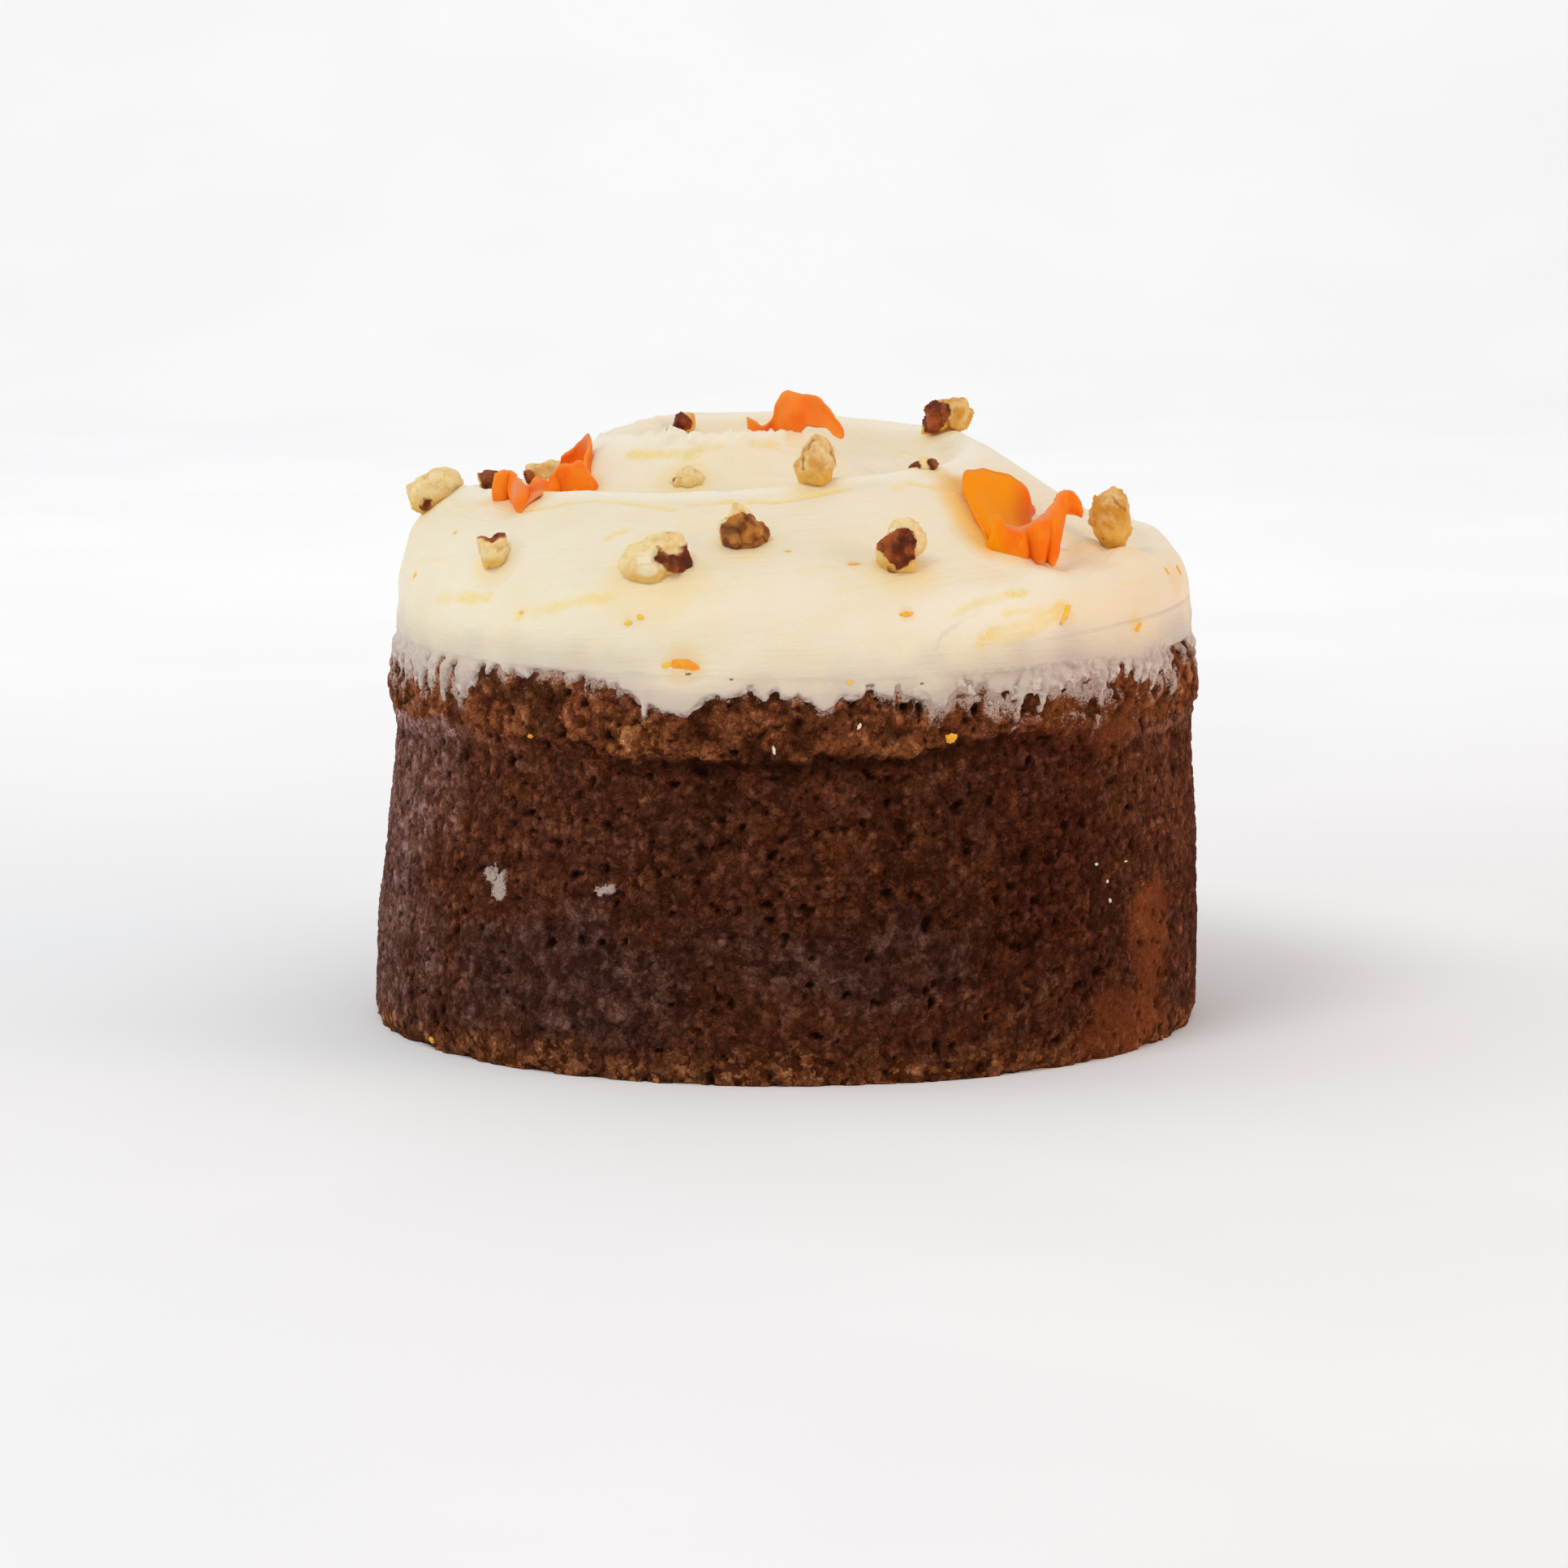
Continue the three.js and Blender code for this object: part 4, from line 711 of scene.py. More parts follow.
def frosting_grid():
    """Rings of the frosting's outer face from the smear's foot up to its middle."""
    columns = columns_around(FROSTING_COLUMNS)
    across, down = shoulder_at(columns)

    # The smear over the sponge.
    share = np.linspace(0, 1, SMEAR_ROWS)[:, None]
    height = mix(around(SMEAR_EDGE, columns) - SMEAR_REACH, SMEAR_TOP, share)
    angle = np.broadcast_to(columns, height.shape)
    above, fingered = smear_edge(angle, height)
    above = mix(above, height - around(LOWER_EDGE, columns), smooth(0.85, 1, share))
    thickness = smear_thickness(above, fingered)
    radius = mix(crust_radius(angle, height) + thickness, SMEAR_TOP_RADIUS, smooth(0.86, 1, share))
    smear = np.stack([radius * np.cos(angle) + LEAN, radius * np.sin(angle), height], -1)

    # The shoulder with the swirl inside it, and the wall under them.
    turns = np.linspace(0, np.pi / 2, SHOULDER_ROWS)[::-1][:, None]
    rounded = FROSTING_RADIUS - across + (across - SHOULDER_TRIM) * np.sin(turns) ** (2 / SHOULDER_POWER)
    inner = (FROSTING_RADIUS - across) * np.linspace(1, 0, TOP_ROWS, endpoint=False)[1:, None]
    radius = np.concatenate([rounded, inner])
    x, y = radius * np.cos(columns) + LEAN, radius * np.sin(columns)
    top, *marks = swirl(x, y)
    top[:SHOULDER_ROWS] -= down * (1 - np.cos(turns) ** (2 / SHOULDER_POWER))
    upper = np.stack([x, y, top], -1)
    wall = mix(smear[-1], upper[0], np.linspace(0, 1, WALL_ROWS + 2)[1:-1, None, None])

    grid = np.concatenate([smear, wall, upper])
    full = np.full((len(grid) - SMEAR_ROWS, FROSTING_COLUMNS), SMEAR_FULL)
    form = dict(grid=grid, thick=np.concatenate([thickness, full]))
    form["angle"] = np.broadcast_to(columns, form["thick"].shape)
    # Below the shoulder there is no swirl, so its crests are far off there.
    low = np.zeros((SMEAR_ROWS + WALL_ROWS, FROSTING_COLUMNS))
    for name, far, values in zip(("inwards", "outwards", "along"), (FAR_OFF, FAR_OFF, 0), marks):
        form[name] = np.concatenate([low + far, values])
    return form


def grid_normals(grid):
    ahead = np.roll(grid, -1, 1) - np.roll(grid, 1, 1)
    return unit(np.cross(ahead, np.gradient(grid, axis=0)))


def near_walnuts(points):
    """How oily the frosting is beside a walnut, and how far it is pushed up there."""
    oil, lip = np.zeros((2, *points.shape[:-1]))
    for walnut in WALNUTS.values():
        x, y = walnut["at"]
        size = max(np.hypot(*knob[:2]) for knob in walnut["knobs"])
        spot = np.array([x, y, frosting_top(x, y)])
        # The oil runs downhill, towards the cake's side.
        downhill = unit(np.array([x, y, 0.0])) * size * 0.25
        oil = np.maximum(oil, smooth(1.7, 0.9, distance(points, spot + downhill) / size))
        lip = np.maximum(lip, smooth(1.6, 1.05, distance(points, spot) / size))
    return oil, lip


def carrot_stain(points):
    """How much carrot juice has bled into the frosting."""
    stain = np.zeros(points.shape[:-1])
    for ribbon in RIBBONS.values():
        lows = np.array([low for low, high in ribbon["stations"]]) + np.array(ribbon["foot"])
        for spot in curve_through(lows, np.linspace(0, len(lows) - 1, 40)):
            stain = np.maximum(stain, 0.45 * smooth(4.2, 0.6, distance(points, spot)))
    ragged = 0.2 * noise(points, 2.5, 80)
    for spot, reach, strength in STAINS:
        stain = np.maximum(stain, strength * smooth(1.1, 0.3, distance(points, spot) / reach + ragged))
    ragged = 0.7 * noise(points, 4, 80)
    for start, end in zip(BLED_LINE, BLED_LINE[1:]):
        bled = beside_line(points[..., :2], start, end) + ragged
        stain = np.maximum(stain, 0.9 * smooth(BLED_REACH, 0.5, bled))
    for spot, length, *rest in FLECKS:
        stain = np.maximum(stain, 0.35 * smooth(0.7, 0.3, distance(points, spot) / length))
    return stain


def along_streaks(points):
    """Each straight part of the knife's yellow lines: its depth, and distance from it in widths."""
    for width, depth, spots in STREAKS:
        for start, end in zip(spots, spots[1:]):
            yield depth, beside_line(points, start, end) / width


def knife_marks(form, swirled):
    """Relief of the frosting in millimetres, before any toppings."""
    grid, inwards, along, angle = form["grid"], form["inwards"], form["along"], form["angle"]
    bent = noise(grid, 14, 70) * 1.6
    grooves = flat_noise(inwards / 0.9 + bent, along * 1.2, 71) * 0.12
    grooves += flat_noise(inwards / 2.6 + bent, along, 72) * 0.42
    grooves *= 0.45 + 0.9 * np.exp(-(inwards / 7) ** 2)
    slope = grid[..., 2] + 3 * np.sin(angle * 2 + 0.5) + bent * 2
    level = flat_noise(slope, angle * 6, 73) * 0.09 + flat_noise(slope / 3.2, angle * 3, 74) * 0.3
    relief = mix(level, grooves, swirled)
    relief += noise(grid, 17, 75) * 0.5 * swirled + noise(grid, 6, 76) * 0.18
    # A lip along the crests, roughest on the inner ridge.
    crest = np.exp(-(np.minimum(inwards, form["outwards"]) / 1.5) ** 2)
    turned = np.where(inwards < form["outwards"], along, along + EIGHTHS)
    outer_lip, inner_lip = (smooth(a, b, turned) * smooth(d, c, turned) for a, b, c, d in RIDGE_LIPS)
    rough = 1 + 0.4 * noise(grid, 5, 86)
    relief += crest * CREST_LIP * (0.3 + 0.7 * outer_lip) * smooth(1, 3, turned) * rough
    relief += crest * inner_lip * (0.9 * noise(grid, 2.4, 77) + 0.6 * noise(grid, 1.2, 78) + 0.4)
    for depth, away in along_streaks(grid):
        relief -= depth * smooth(1.2, 0.3, away)
    dip = np.hypot(grid[..., 0] - HOLLOW["x"], grid[..., 1] - HOLLOW["y"]) / HOLLOW["across"]
    relief -= HOLLOW["depth"] * smooth(1, 0, dip) * swirled * (1 - crest)
    for middle, reach, heap in HEAPS:
        relief += heap * smooth(1, 0.25, distance(grid[..., :2], middle) / reach)
    return relief


def frosting_looks(form, swirled):
    """What the frosting's colours need to know of the swirl and the smear."""
    grid, thick, angle = form["grid"], form["thick"], form["angle"]
    inwards, along, height = form["inwards"], form["along"], grid[..., 2]
    streak = np.zeros(angle.shape)
    wander, broken = 0.5 * noise(grid, 2, 87), 0.75 + 0.35 * noise(grid, 5, 88)
    for depth, away in along_streaks(grid):
        streak = np.maximum(streak, smooth(1.3, 0.2, away + wander) * broken)
    field = smooth(15, 4, np.linalg.norm((grid - ZEST_FIELD) * (1, 1, 1.8), axis=-1))
    patches = smooth(0.05, 0.6, noise(grid, 13, 84)) * 0.45
    # The frosting thins out to its lower edge, and most where that is fingered.
    fingered = around(FINGERING, angle)
    above = height - around(LOWER_EDGE, angle) + 1.6 * noise(grid, 5, 85)
    thin = smooth(0, 1, 1 - above / (8 + 4 * fingered)) * (0.6 + 0.4 * fingered ** 2)
    seam = np.minimum(inwards, form["outwards"])
    # The marks meet end to end at the back, where they are smoothed over.
    calm = np.maximum(smooth(2.4, 0.6, seam) * swirled, smooth(5, 2, np.abs(turn_of(angle) - 90)))
    # Painted shade in the valley just behind each crest.
    behind = smooth(0.5, 3, inwards) * smooth(15, 6, inwards) * smooth(1, 3, along)
    return dict(
        # side: painted warm reflected light on the right flank
        side=smooth(34, 64, grid[..., 0]) * smooth(30, 0, grid[..., 1]), thin=thin,
        sheer=smooth(1.0, 0.1, thick), streak=streak, zest=np.maximum(field, patches),
        # crest: painted highlight along the crests
        topside=swirled, calm=calm, crest=smooth(5, 0.5, seam) * swirled, valley_shade=behind * swirled,
        inwards=inwards, along=along * MARK_RUN, level=height + 3 * np.sin(angle * 2 + 0.5),
        turned=(angle - TURN / 4) % TURN * SKIRT)


def make_frosting(material):
    form = frosting_grid()
    grid, thick = form["grid"], form["thick"]
    swirled = smooth(SMEAR_TOP + 2, SMEAR_TOP + 12, grid[..., 2])
    oil, lip = near_walnuts(grid)
    relief = (knife_marks(form, swirled) + 0.3 * lip) * smooth(0.2, 1.2, thick)
    relief = np.where(thick < SMEAR_FULL, relief + 0.16 * noise(grid, 1.6, 79), relief)
    outer = grid + grid_normals(grid) * relief[..., None]

    # The hidden underside closes the frosting inside the sponge.
    columns = form["angle"][0]
    inner = []
    for radius, height in UNDERSIDE:
        inner.append(side_point(columns, np.full_like(columns, height), radius)[None])
    looks = dict(oil=oil, stain=carrot_stain(grid), **frosting_looks(form, swirled))
    bottom = (LEAN, 0, UNDERSIDE_MIDDLE)
    piece = closed_skin("frosting_swirl", inner, outer, [], bottom, outer[-1].mean(0), looks)
    dress(piece, material, "frosting")
    return outer


# ---------------------------------------------------------------- walnut pieces


def fine_sphere(detail):
    mesh = bpy.data.meshes.new("sphere")
    ball = bmesh.new()
    bmesh.ops.create_icosphere(ball, subdivisions=detail, radius=1)
    ball.to_mesh(mesh)
    ball.free()
    points = np.array([v.co[:] for v in mesh.vertices])
    faces = [tuple(p.vertices) for p in mesh.polygons]
    bpy.data.meshes.remove(mesh)
    return points, faces


def hull_reach(tips, directions):
    """Distance along each direction to the flat-faced hull around the knob tips."""
    hull = bmesh.new()
    for tip in tips:
        hull.verts.new(tip)
    bmesh.ops.convex_hull(hull, input=hull.verts)
    bmesh.ops.recalc_face_normals(hull, faces=hull.faces)
    hull.normal_update()
    facings = np.array([face.normal[:] for face in hull.faces])
    offsets = np.array([face.normal.dot(face.verts[0].co) for face in hull.faces])
    hull.free()
    along = directions @ facings.T
    return np.min(np.where(along > 1e-3, offsets / np.maximum(along, 1e-3), 1e3), axis=1)


def degrees_from(directions, direction):
    return np.degrees(np.arccos(np.clip(directions @ unit(np.array(direction, float)), -1, 1)))


def within(directions, spots, wander, edge):
    """1 within some degrees of each direction, with a wandering edge."""
    share = np.zeros(len(directions))
    for direction, reach in spots:
        away = degrees_from(directions, direction) + wander
        share = np.maximum(share, smooth(reach + edge, reach - edge, away))
    return share


def kernel_veins(walnut, directions, radius, spots):
    """1 on the dark lines over the kernel's front."""
    vein = np.zeros(len(directions))
    flat = (directions * radius[:, None])[:, (0, 2)]
    wobble = 0.3 * noise(spots, 0.9, 98)
    for start, end in walnut.get("veins", ()):
        vein = np.maximum(vein, smooth(0.26, 0.06, beside_line(flat, start, end) + wobble))
    return vein * smooth(0.1, -0.2, directions[:, 1])


def make_walnut(name, walnut, seed, sphere, material):
    directions, faces = unit(sphere[0]), sphere[1]
    tips = np.array(walnut["knobs"], float)
    reach = np.linalg.norm(tips, axis=1)
    weight = np.exp(KNOB_BLEND * (directions @ (tips / reach[:, None]).T - 1))
    blended = (weight * reach).sum(1) / weight.sum(1)
    broken_flat = FLAT_SHARE * (1 - 0.6 * np.abs(directions[:, 1]))
    radius = mix(blended, np.minimum(hull_reach(tips, directions), blended), broken_flat)
    for direction, width, depth in walnut.get("dents", ()):
        radius = radius - depth * smooth(width, 0, degrees_from(directions, direction))

    # Its own grooves, creases and broken facets.
    spots = directions * radius[:, None] + np.array([seed * 7.7, 0, 0])
    warped = pushed_about(spots, 0.8, 1.9, 90)
    lobes = np.abs(noise(warped, 3.0, 92))
    folds = np.abs(noise(warped, 1.3, 93))
    groove = smooth(0.16, 0.0, lobes)
    shaded_crease = smooth(0.13, 0.0, folds)
    wander = 16 * noise(spots, 2.4, 95) + 7 * noise(spots, 1.0, 96) + 3 * noise(spots, 0.5, 97)
    cover = within(directions, walnut.get("skins", ()), wander, 3)
    relief = 0.2 * (np.minimum(lobes, 0.5) - 0.3) - 0.06 * groove
    relief += (0.07 + 0.25 * cover) * (np.minimum(folds, 0.5) - 0.25) - 0.1 * shaded_crease * cover
    relief += 0.03 * noise(spots, 0.7, 94) + 0.35 * cover * noise(spots, 1.5, 99)
    broken = FACET_DEPTH * facets(spots, FACET, 101) + 0.05 * facets(spots, 0.45 * FACET, 107)
    relief += np.minimum(broken, 0.15) * (1 - 0.6 * cover)
    vein = kernel_veins(walnut, directions, radius, spots)
    radius = radius + relief * reach.mean() / 4.5 + 0.2 * cover - 0.1 * vein

    middle = np.array([*walnut["at"], frosting_top(*walnut["at"]) + walnut["lift"]])
    fresh = within(directions, walnut.get("fresh", ()), 9 * noise(spots, 2.0, 102), 4)
    looks = dict(
        skin=cover, vein=vein, fresh=fresh,
        # painted shade in the grooves and creases
        shaded_crease=np.maximum(groove, 0.6 * shaded_crease), low=smooth(0.1, -0.7, directions[:, 2]),
        honey=np.full(len(directions), walnut["honey"]), gold=np.full(len(directions), walnut["gold"]))
    piece = mesh_piece(name + "_kernel", directions * radius[:, None] + middle, faces, looks)
    dress(piece, material, name)


# ---------------------------------------------------------------- carrot ribbons


def marked(marks, position, share):
    """1 in the middle of soft marks: (station, half width, share across, half height)."""
    mark = np.zeros((len(position), len(share)))
    for centre, half, across, tall in marks:
        gap = np.hypot((position[:, None] - centre) / half, (share[None] - across) / tall)
        mark = np.maximum(mark, smooth(1.3, 0.3, gap))
    return mark


def peel_faces(rows, bands):
    """Faces round a thin sheet: its front, its back and its four edges."""
    f, b = np.arange(2 * rows * bands).reshape(2, rows, bands)
    faces = quads(f[:-1, :-1], f[1:, :-1], f[1:, 1:], f[:-1, 1:])
    faces += quads(b[:-1, :-1], b[:-1, 1:], b[1:, 1:], b[1:, :-1])
    faces += quads(f[:-1, 0], b[:-1, 0], b[1:, 0], f[1:, 0])
    faces += quads(f[1:, -1], b[1:, -1], b[:-1, -1], f[:-1, -1])
    faces += quads(f[0, 1:], b[0, 1:], b[0, :-1], f[0, :-1])
    faces += quads(f[-1, :-1], b[-1, :-1], b[-1, 1:], f[-1, 1:])
    return faces


def ribbon_looks(ribbon, position, share, rim):
    """What the carrot's colours need to know, for the front of the peeling and then its back."""
    # The glow is painted light shining through the peeling.
    centre, reach = ribbon.get("glow", (0, 0))
    glow = smooth(reach + 1, reach - 1, np.abs(position - centre)) if reach else position * 0
    sheet = dict(
        edge=1 - rim, glow=glow[:, None], pale=ribbon["pale"],
        shade=marked(ribbon.get("folds", ()), position, share),
        sheer=marked(ribbon.get("sheer", ()), position, share))
    shape = len(position), len(share)
    looks = {look: np.tile(np.broadcast_to(values, shape).ravel(), 2) for look, values in sheet.items()}
    # The back face is painted in deeper shade.
    looks["inside"] = np.repeat((0, 1), shape[0] * shape[1])
    return looks


def make_ribbon(name, ribbon, seed, material):
    stations = np.array(ribbon["stations"], float)
    position = np.linspace(0, len(stations) - 1, (len(stations) - 1) * ROWS_PER_STATION + 1)
    low = curve_through(stations[:, 0], position) + np.array(ribbon["foot"])
    high = curve_through(stations[:, 1], position) + np.array(ribbon["foot"])
    share = np.linspace(0, 1, RIBBON_BANDS + 1)
    grid = low[:, None] + (high - low)[:, None] * share[None, :, None]
    across = np.broadcast_to((high - low)[:, None], grid.shape)
    normal = unit(np.cross(np.gradient(grid, axis=0), across))
    steps = np.linalg.norm(np.diff(grid.mean(1), axis=0), axis=1)
    length = np.concatenate([[0], np.cumsum(steps)])
    width = np.linalg.norm(high - low, axis=1)
    ruffle = 0.14 * np.sin(length * 1.9 + seed)[:, None] * smooth(0.45, 1, share)[None]
    ruffle = ruffle + 0.18 * noise(grid, 3.2, seed)
    # It is cupped deeper where it lies like a scoop.
    centre, half, depth = ribbon.get("scoop", (0, 1, 0))
    scooped = depth * smooth(half, 0.4 * half, np.abs(position - centre))
    bulge = np.sin(np.pi * share)[None] * (ribbon["cup"] + scooped[:, None])
    # The peeling's edges are nicked, and its ends are torn.
    nick = 0.12 * line_noise(length / 0.8, seed + 5)
    grid = grid + across / width[:, None, None] * (nick[:, None] * smooth(0.6, 1, share)[None])[..., None]
    middle = grid + normal * (bulge + ruffle)[..., None]
    ends = smooth(0, 0.8, np.minimum(length, length[-1] - length))[:, None]
    rim = smooth(0, 0.12, np.minimum(share, 1 - share))[None]
    half = RIBBON_THICKNESS / 2 * (0.35 + 0.65 * np.minimum(ends, rim))
    half = half * (1 + 0.12 * noise(grid, 1.8, seed + 2))
    points = np.stack([middle + normal * half[..., None], middle - normal * half[..., None]])
    faces, looks = peel_faces(*grid.shape[:2]), ribbon_looks(ribbon, position, share, rim)
    dress(mesh_piece(name + "_peel", points, faces, looks), material, name)


# ---------------------------------------------------------------- flecks and crumbs


def lay_flakes(name, flakes, surface, seed, lift, material):
    """One mesh of thin ragged flakes, each lying on the nearest place of a surface."""
    places, facings = surface.reshape(-1, 3), grid_normals(surface).reshape(-1, 3)
    turn = np.arange(FLAKE_SIDES) / FLAKE_SIDES * TURN
    number = 1 + np.arange(len(FLAKE_RINGS) * FLAKE_SIDES).reshape(-1, FLAKE_SIDES)
    after = np.roll(number, -1, axis=1)
    pattern = [(0, a, b) for a, b in zip(number[0], after[0])]
    pattern += quads(number[:-1], number[1:], after[1:], after[:-1]) + [tuple(number[-1][::-1])]
    points, faces, tones = [], [], []
    draw = np.random.default_rng(seed)
    for spot, length, height, slope, tone in flakes:
        nearest = np.argmin(distance(places, spot))
        middle, normal = places[nearest], facings[nearest]
        level = unit(np.cross((0, 0, 1), normal))
        rising = np.cross(normal, level)
        tilt = np.radians(slope)
        long_way = level * np.cos(tilt) + rising * np.sin(tilt)
        short_way = rising * np.cos(tilt) - level * np.sin(tilt)
        ragged = 1 + draw.uniform(-0.28, 0.28, FLAKE_SIDES)
        outline = np.outer(np.cos(turn) * ragged, long_way * length / 2)
        outline += np.outer(np.sin(turn) * ragged, short_way * height / 2)
        faces += [tuple(len(points) + i for i in corners) for corners in pattern]
        points.append(middle + normal * lift)
        for share, raised in FLAKE_RINGS:
            points += list(middle + outline * share + normal * lift * raised)
        tones += [tone] * (1 + number.size)
    dress(mesh_piece(name, points, faces, {"tone": tones}), material, None)


# ---------------------------------------------------------------- materials

SOFT_SCALE = 1.6  # how far light goes into frosting, walnut and carrot
WHITE = (1.0, 1.0, 1.0)


class Finish:
    """The nodes of one material; a colour is (red, green, blue) or another node's output."""

    def __init__(self, name):
        self.material = bpy.data.materials.new(name)
        self.material.use_nodes = True
        self.tree = self.material.node_tree
        self.shader = self.tree.nodes["Principled BSDF"]
        place = self.node("TexCoord").outputs["Object"]
        self.place = self.node("Mapping", {"Vector": place, "Scale": (1 / MM,) * 3}).outputs["Vector"]

    def feed(self, socket, value):
        if isinstance(value, bpy.types.NodeSocket):
            self.tree.links.new(value, socket)
        elif isinstance(value, tuple) and socket.type == "RGBA":
            socket.default_value = (*value, 1)
        else:
            socket.default_value = value

    def node(self, kind, inputs=(), **settings):
        node = self.tree.nodes.new("ShaderNode" + kind)
        for setting, value in settings.items():
            setattr(node, setting, value)
        for socket, value in dict(inputs).items():
            self.feed(node.inputs[socket], value)
        return node

    def value(self, name):
        return self.node("Attribute", attribute_name=name).outputs["Fac"]

    def cloud(self, size, detail=3, roughness=0.55, place=None, squash=None):
        """Noise with features about size millimetres wide, from 0 to 1."""
        place = place or self.place
        if squash:
            place = self.node("Mapping", {"Vector": place, "Scale": squash}).outputs["Vector"]
        inputs = {"Vector": place, "Scale": 1 / size, "Detail": detail, "Roughness": roughness}
        return self.node("TexNoise", inputs).outputs["Fac"]

    def warp(self, place, size, amount):
        """The same place, pushed about by noise so that cells lose their straight borders."""
        push = self.node("TexNoise", {"Vector": place, "Scale": 1 / size, "Detail": 2}).outputs["Color"]
        inputs = {0: push, 1: (amount,) * 3, 2: place}
        return self.node("VectorMath", inputs, operation="MULTIPLY_ADD").outputs["Vector"]

    def grain(self, place, size):
        """Cells about size wide: distance from their middle, and a value of their own."""
        node = self.node("TexVoronoi", {"Vector": place, "Scale": 1 / size})
        split = self.node("SeparateColor", {"Color": node.outputs["Color"]})
        return node.outputs["Distance"], split.outputs["Red"]

    def ramp(self, value, low, high, to_low=0.0, to_high=1.0):
        inputs = {"Value": value, "From Min": low, "From Max": high, "To Min": to_low, "To Max": to_high}
        return self.node("MapRange", inputs, interpolation_type="SMOOTHSTEP").outputs["Result"]

    def maths(self, operation, a, b):
        return self.node("Math", {0: a, 1: b}, operation=operation).outputs["Value"]

    def mix(self, share, a, b, kind="MIX"):
        """Two colours mixed; a colour mix keeps its factor and colours in these sockets."""
        return self.node("Mix", {0: share, 6: a, 7: b}, data_type="RGBA", blend_type=kind).outputs[2]

    def mix_number(self, share, a, b):
        return self.node("Mix", {0: share, 2: a, 3: b}, data_type="FLOAT").outputs[0]

    def tint(self, colour, name, strength, shade):
        """A shade over a colour, as far as the named look of the mesh says."""
        return self.mix(self.maths("MULTIPLY", self.value(name), strength), colour, shade)

    def shaded(self, colour, share, low, high):
        """A colour multiplied by a shade that goes from low to high."""
        return self.mix(1.0, colour, self.mix(share, low, high), "MULTIPLY")

    def bump(self, *layers):
        """Bump from (height output, depth in millimetres) layers, laid over each other."""
        inputs = {"Strength": 1}
        for height, depth in layers:
            inputs.update({"Height": height, "Distance": depth * MM})
            inputs["Normal"] = self.node("Bump", inputs).outputs["Normal"]
        self.feed(self.shader.inputs["Normal"], inputs["Normal"])

    def wear(self, colour, roughness, specular, soft=None):
        """Give the surface its colour and gloss; soft is how much light it lets in, and how far."""
        looks = {"Base Color": colour, "Roughness": roughness, "Specular IOR Level": specular}
        if soft:
            looks["Subsurface Weight"], looks["Subsurface Radius"] = soft
            looks["Subsurface Scale"] = SOFT_SCALE * MM
        for socket, value in looks.items():
            self.feed(self.shader.inputs[socket], value)
        return self.material


def sponge_material():
    finish = Finish("sponge_crumb")
    warped = finish.warp(finish.warp(finish.place, 2.4, 2.2), 0.7, 1.5)
    medium, dust = finish.cloud(4, 5, 0.65), finish.cloud(0.45, 3, 0.7)
    coarse, coarse_tone = finish.grain(warped, 1.3)
    fine, fine_tone = finish.grain(warped, 0.5)
    dark, brown, red = (0.054, 0.0150, 0.0066), (0.088, 0.0255, 0.0108), (0.115, 0.0320, 0.0115)
    colour = finish.mix(finish.ramp(finish.cloud(20, 4, 0.6), 0.38, 0.62), dark, brown)
    colour = finish.mix(finish.ramp(medium, 0.45, 0.68), colour, red)
    # Each look: its strength, what it varies with, and its colours.
    drawn, mottled = finish.ramp(medium, 0.4, 0.65), finish.ramp(medium, 0.35, 0.65)
    for look, strength, share, low, high in (
            ("smoothness", 0.7, drawn, (0.034, 0.0120, 0.0085), (0.125, 0.060, 0.045)),
            # painted grey sheen on the far left side
            ("side_sheen", 0.85, mottled, (0.100, 0.040, 0.028), (0.25, 0.120, 0.088)),
            ("foot", 0.75, coarse_tone, (0.105, 0.030, 0.012), (0.27, 0.090, 0.028)),
            ("crown", 1, mottled, (0.135, 0.0365, 0.0130), (0.28, 0.087, 0.031)),
            ("clump", 0.7, coarse_tone, (0.19, 0.056, 0.016), (0.36, 0.130, 0.040))):
        colour = finish.tint(colour, look, strength, finish.mix(share, low, high))
    colour = finish.shaded(colour, coarse_tone, (0.62, 0.55, 0.50), (1.42, 1.55, 1.7))
    colour = finish.shaded(colour, fine_tone, (0.72, 0.66, 0.60), (1.36, 1.44, 1.52))
    # Painted highlight on the raised tips of the crumb.
    colour = finish.shaded(colour, finish.value("tip"), (0.86, 0.82, 0.78), (1.5, 1.75, 2.1))
    # Painted shade in the crevices between the coarse grains.
    colour = finish.mix(finish.ramp(coarse, 0.5, 0.9, 0, 0.6), colour, (0.020, 0.0055, 0.0024))
    stain = finish.mix(fine_tone, (0.150, 0.034, 0.009), (0.22, 0.056, 0.016))
    colour = finish.tint(colour, "patch", 0.65, stain)
    # Painted sheen on the limbs, then painted shade beside the front.
    colour = finish.shaded(colour, finish.value("limb_sheen"), WHITE, (1.5, 1.55, 1.6))
    colour = finish.shaded(colour, finish.value("shady"), WHITE, (0.72, 0.55, 0.60))
    # Painted shade in holes, pores, torn gaps and under the ledge.
    colour = finish.tint(colour, "shaded_pore", 0.92, (0.010, 0.0026, 0.0011))
    veil = finish.maths("ADD", finish.value("veil"), finish.ramp(dust, 0.3, 0.7, -0.3, 0.3))
    veil = finish.maths("MULTIPLY", finish.ramp(veil, 0.25, 0.8), 0.8)
    colour = finish.mix(veil, colour, (0.60, 0.47, 0.40))
    finish.bump((coarse, -0.36), (fine, -0.16), (dust, 0.1))
    return finish.wear(colour, finish.ramp(medium, 0.3, 0.7, 0.75, 0.9), 0.02)


def drawn_marks(finish, across, along):
    """Fine marks of the knife, drawn out along the way it went."""
    place = finish.node("CombineXYZ", {"X": finish.value(across), "Y": finish.value(along)}).outputs["Vector"]
    return finish.cloud(0.9, place=place, squash=(1, 0.07, 1))


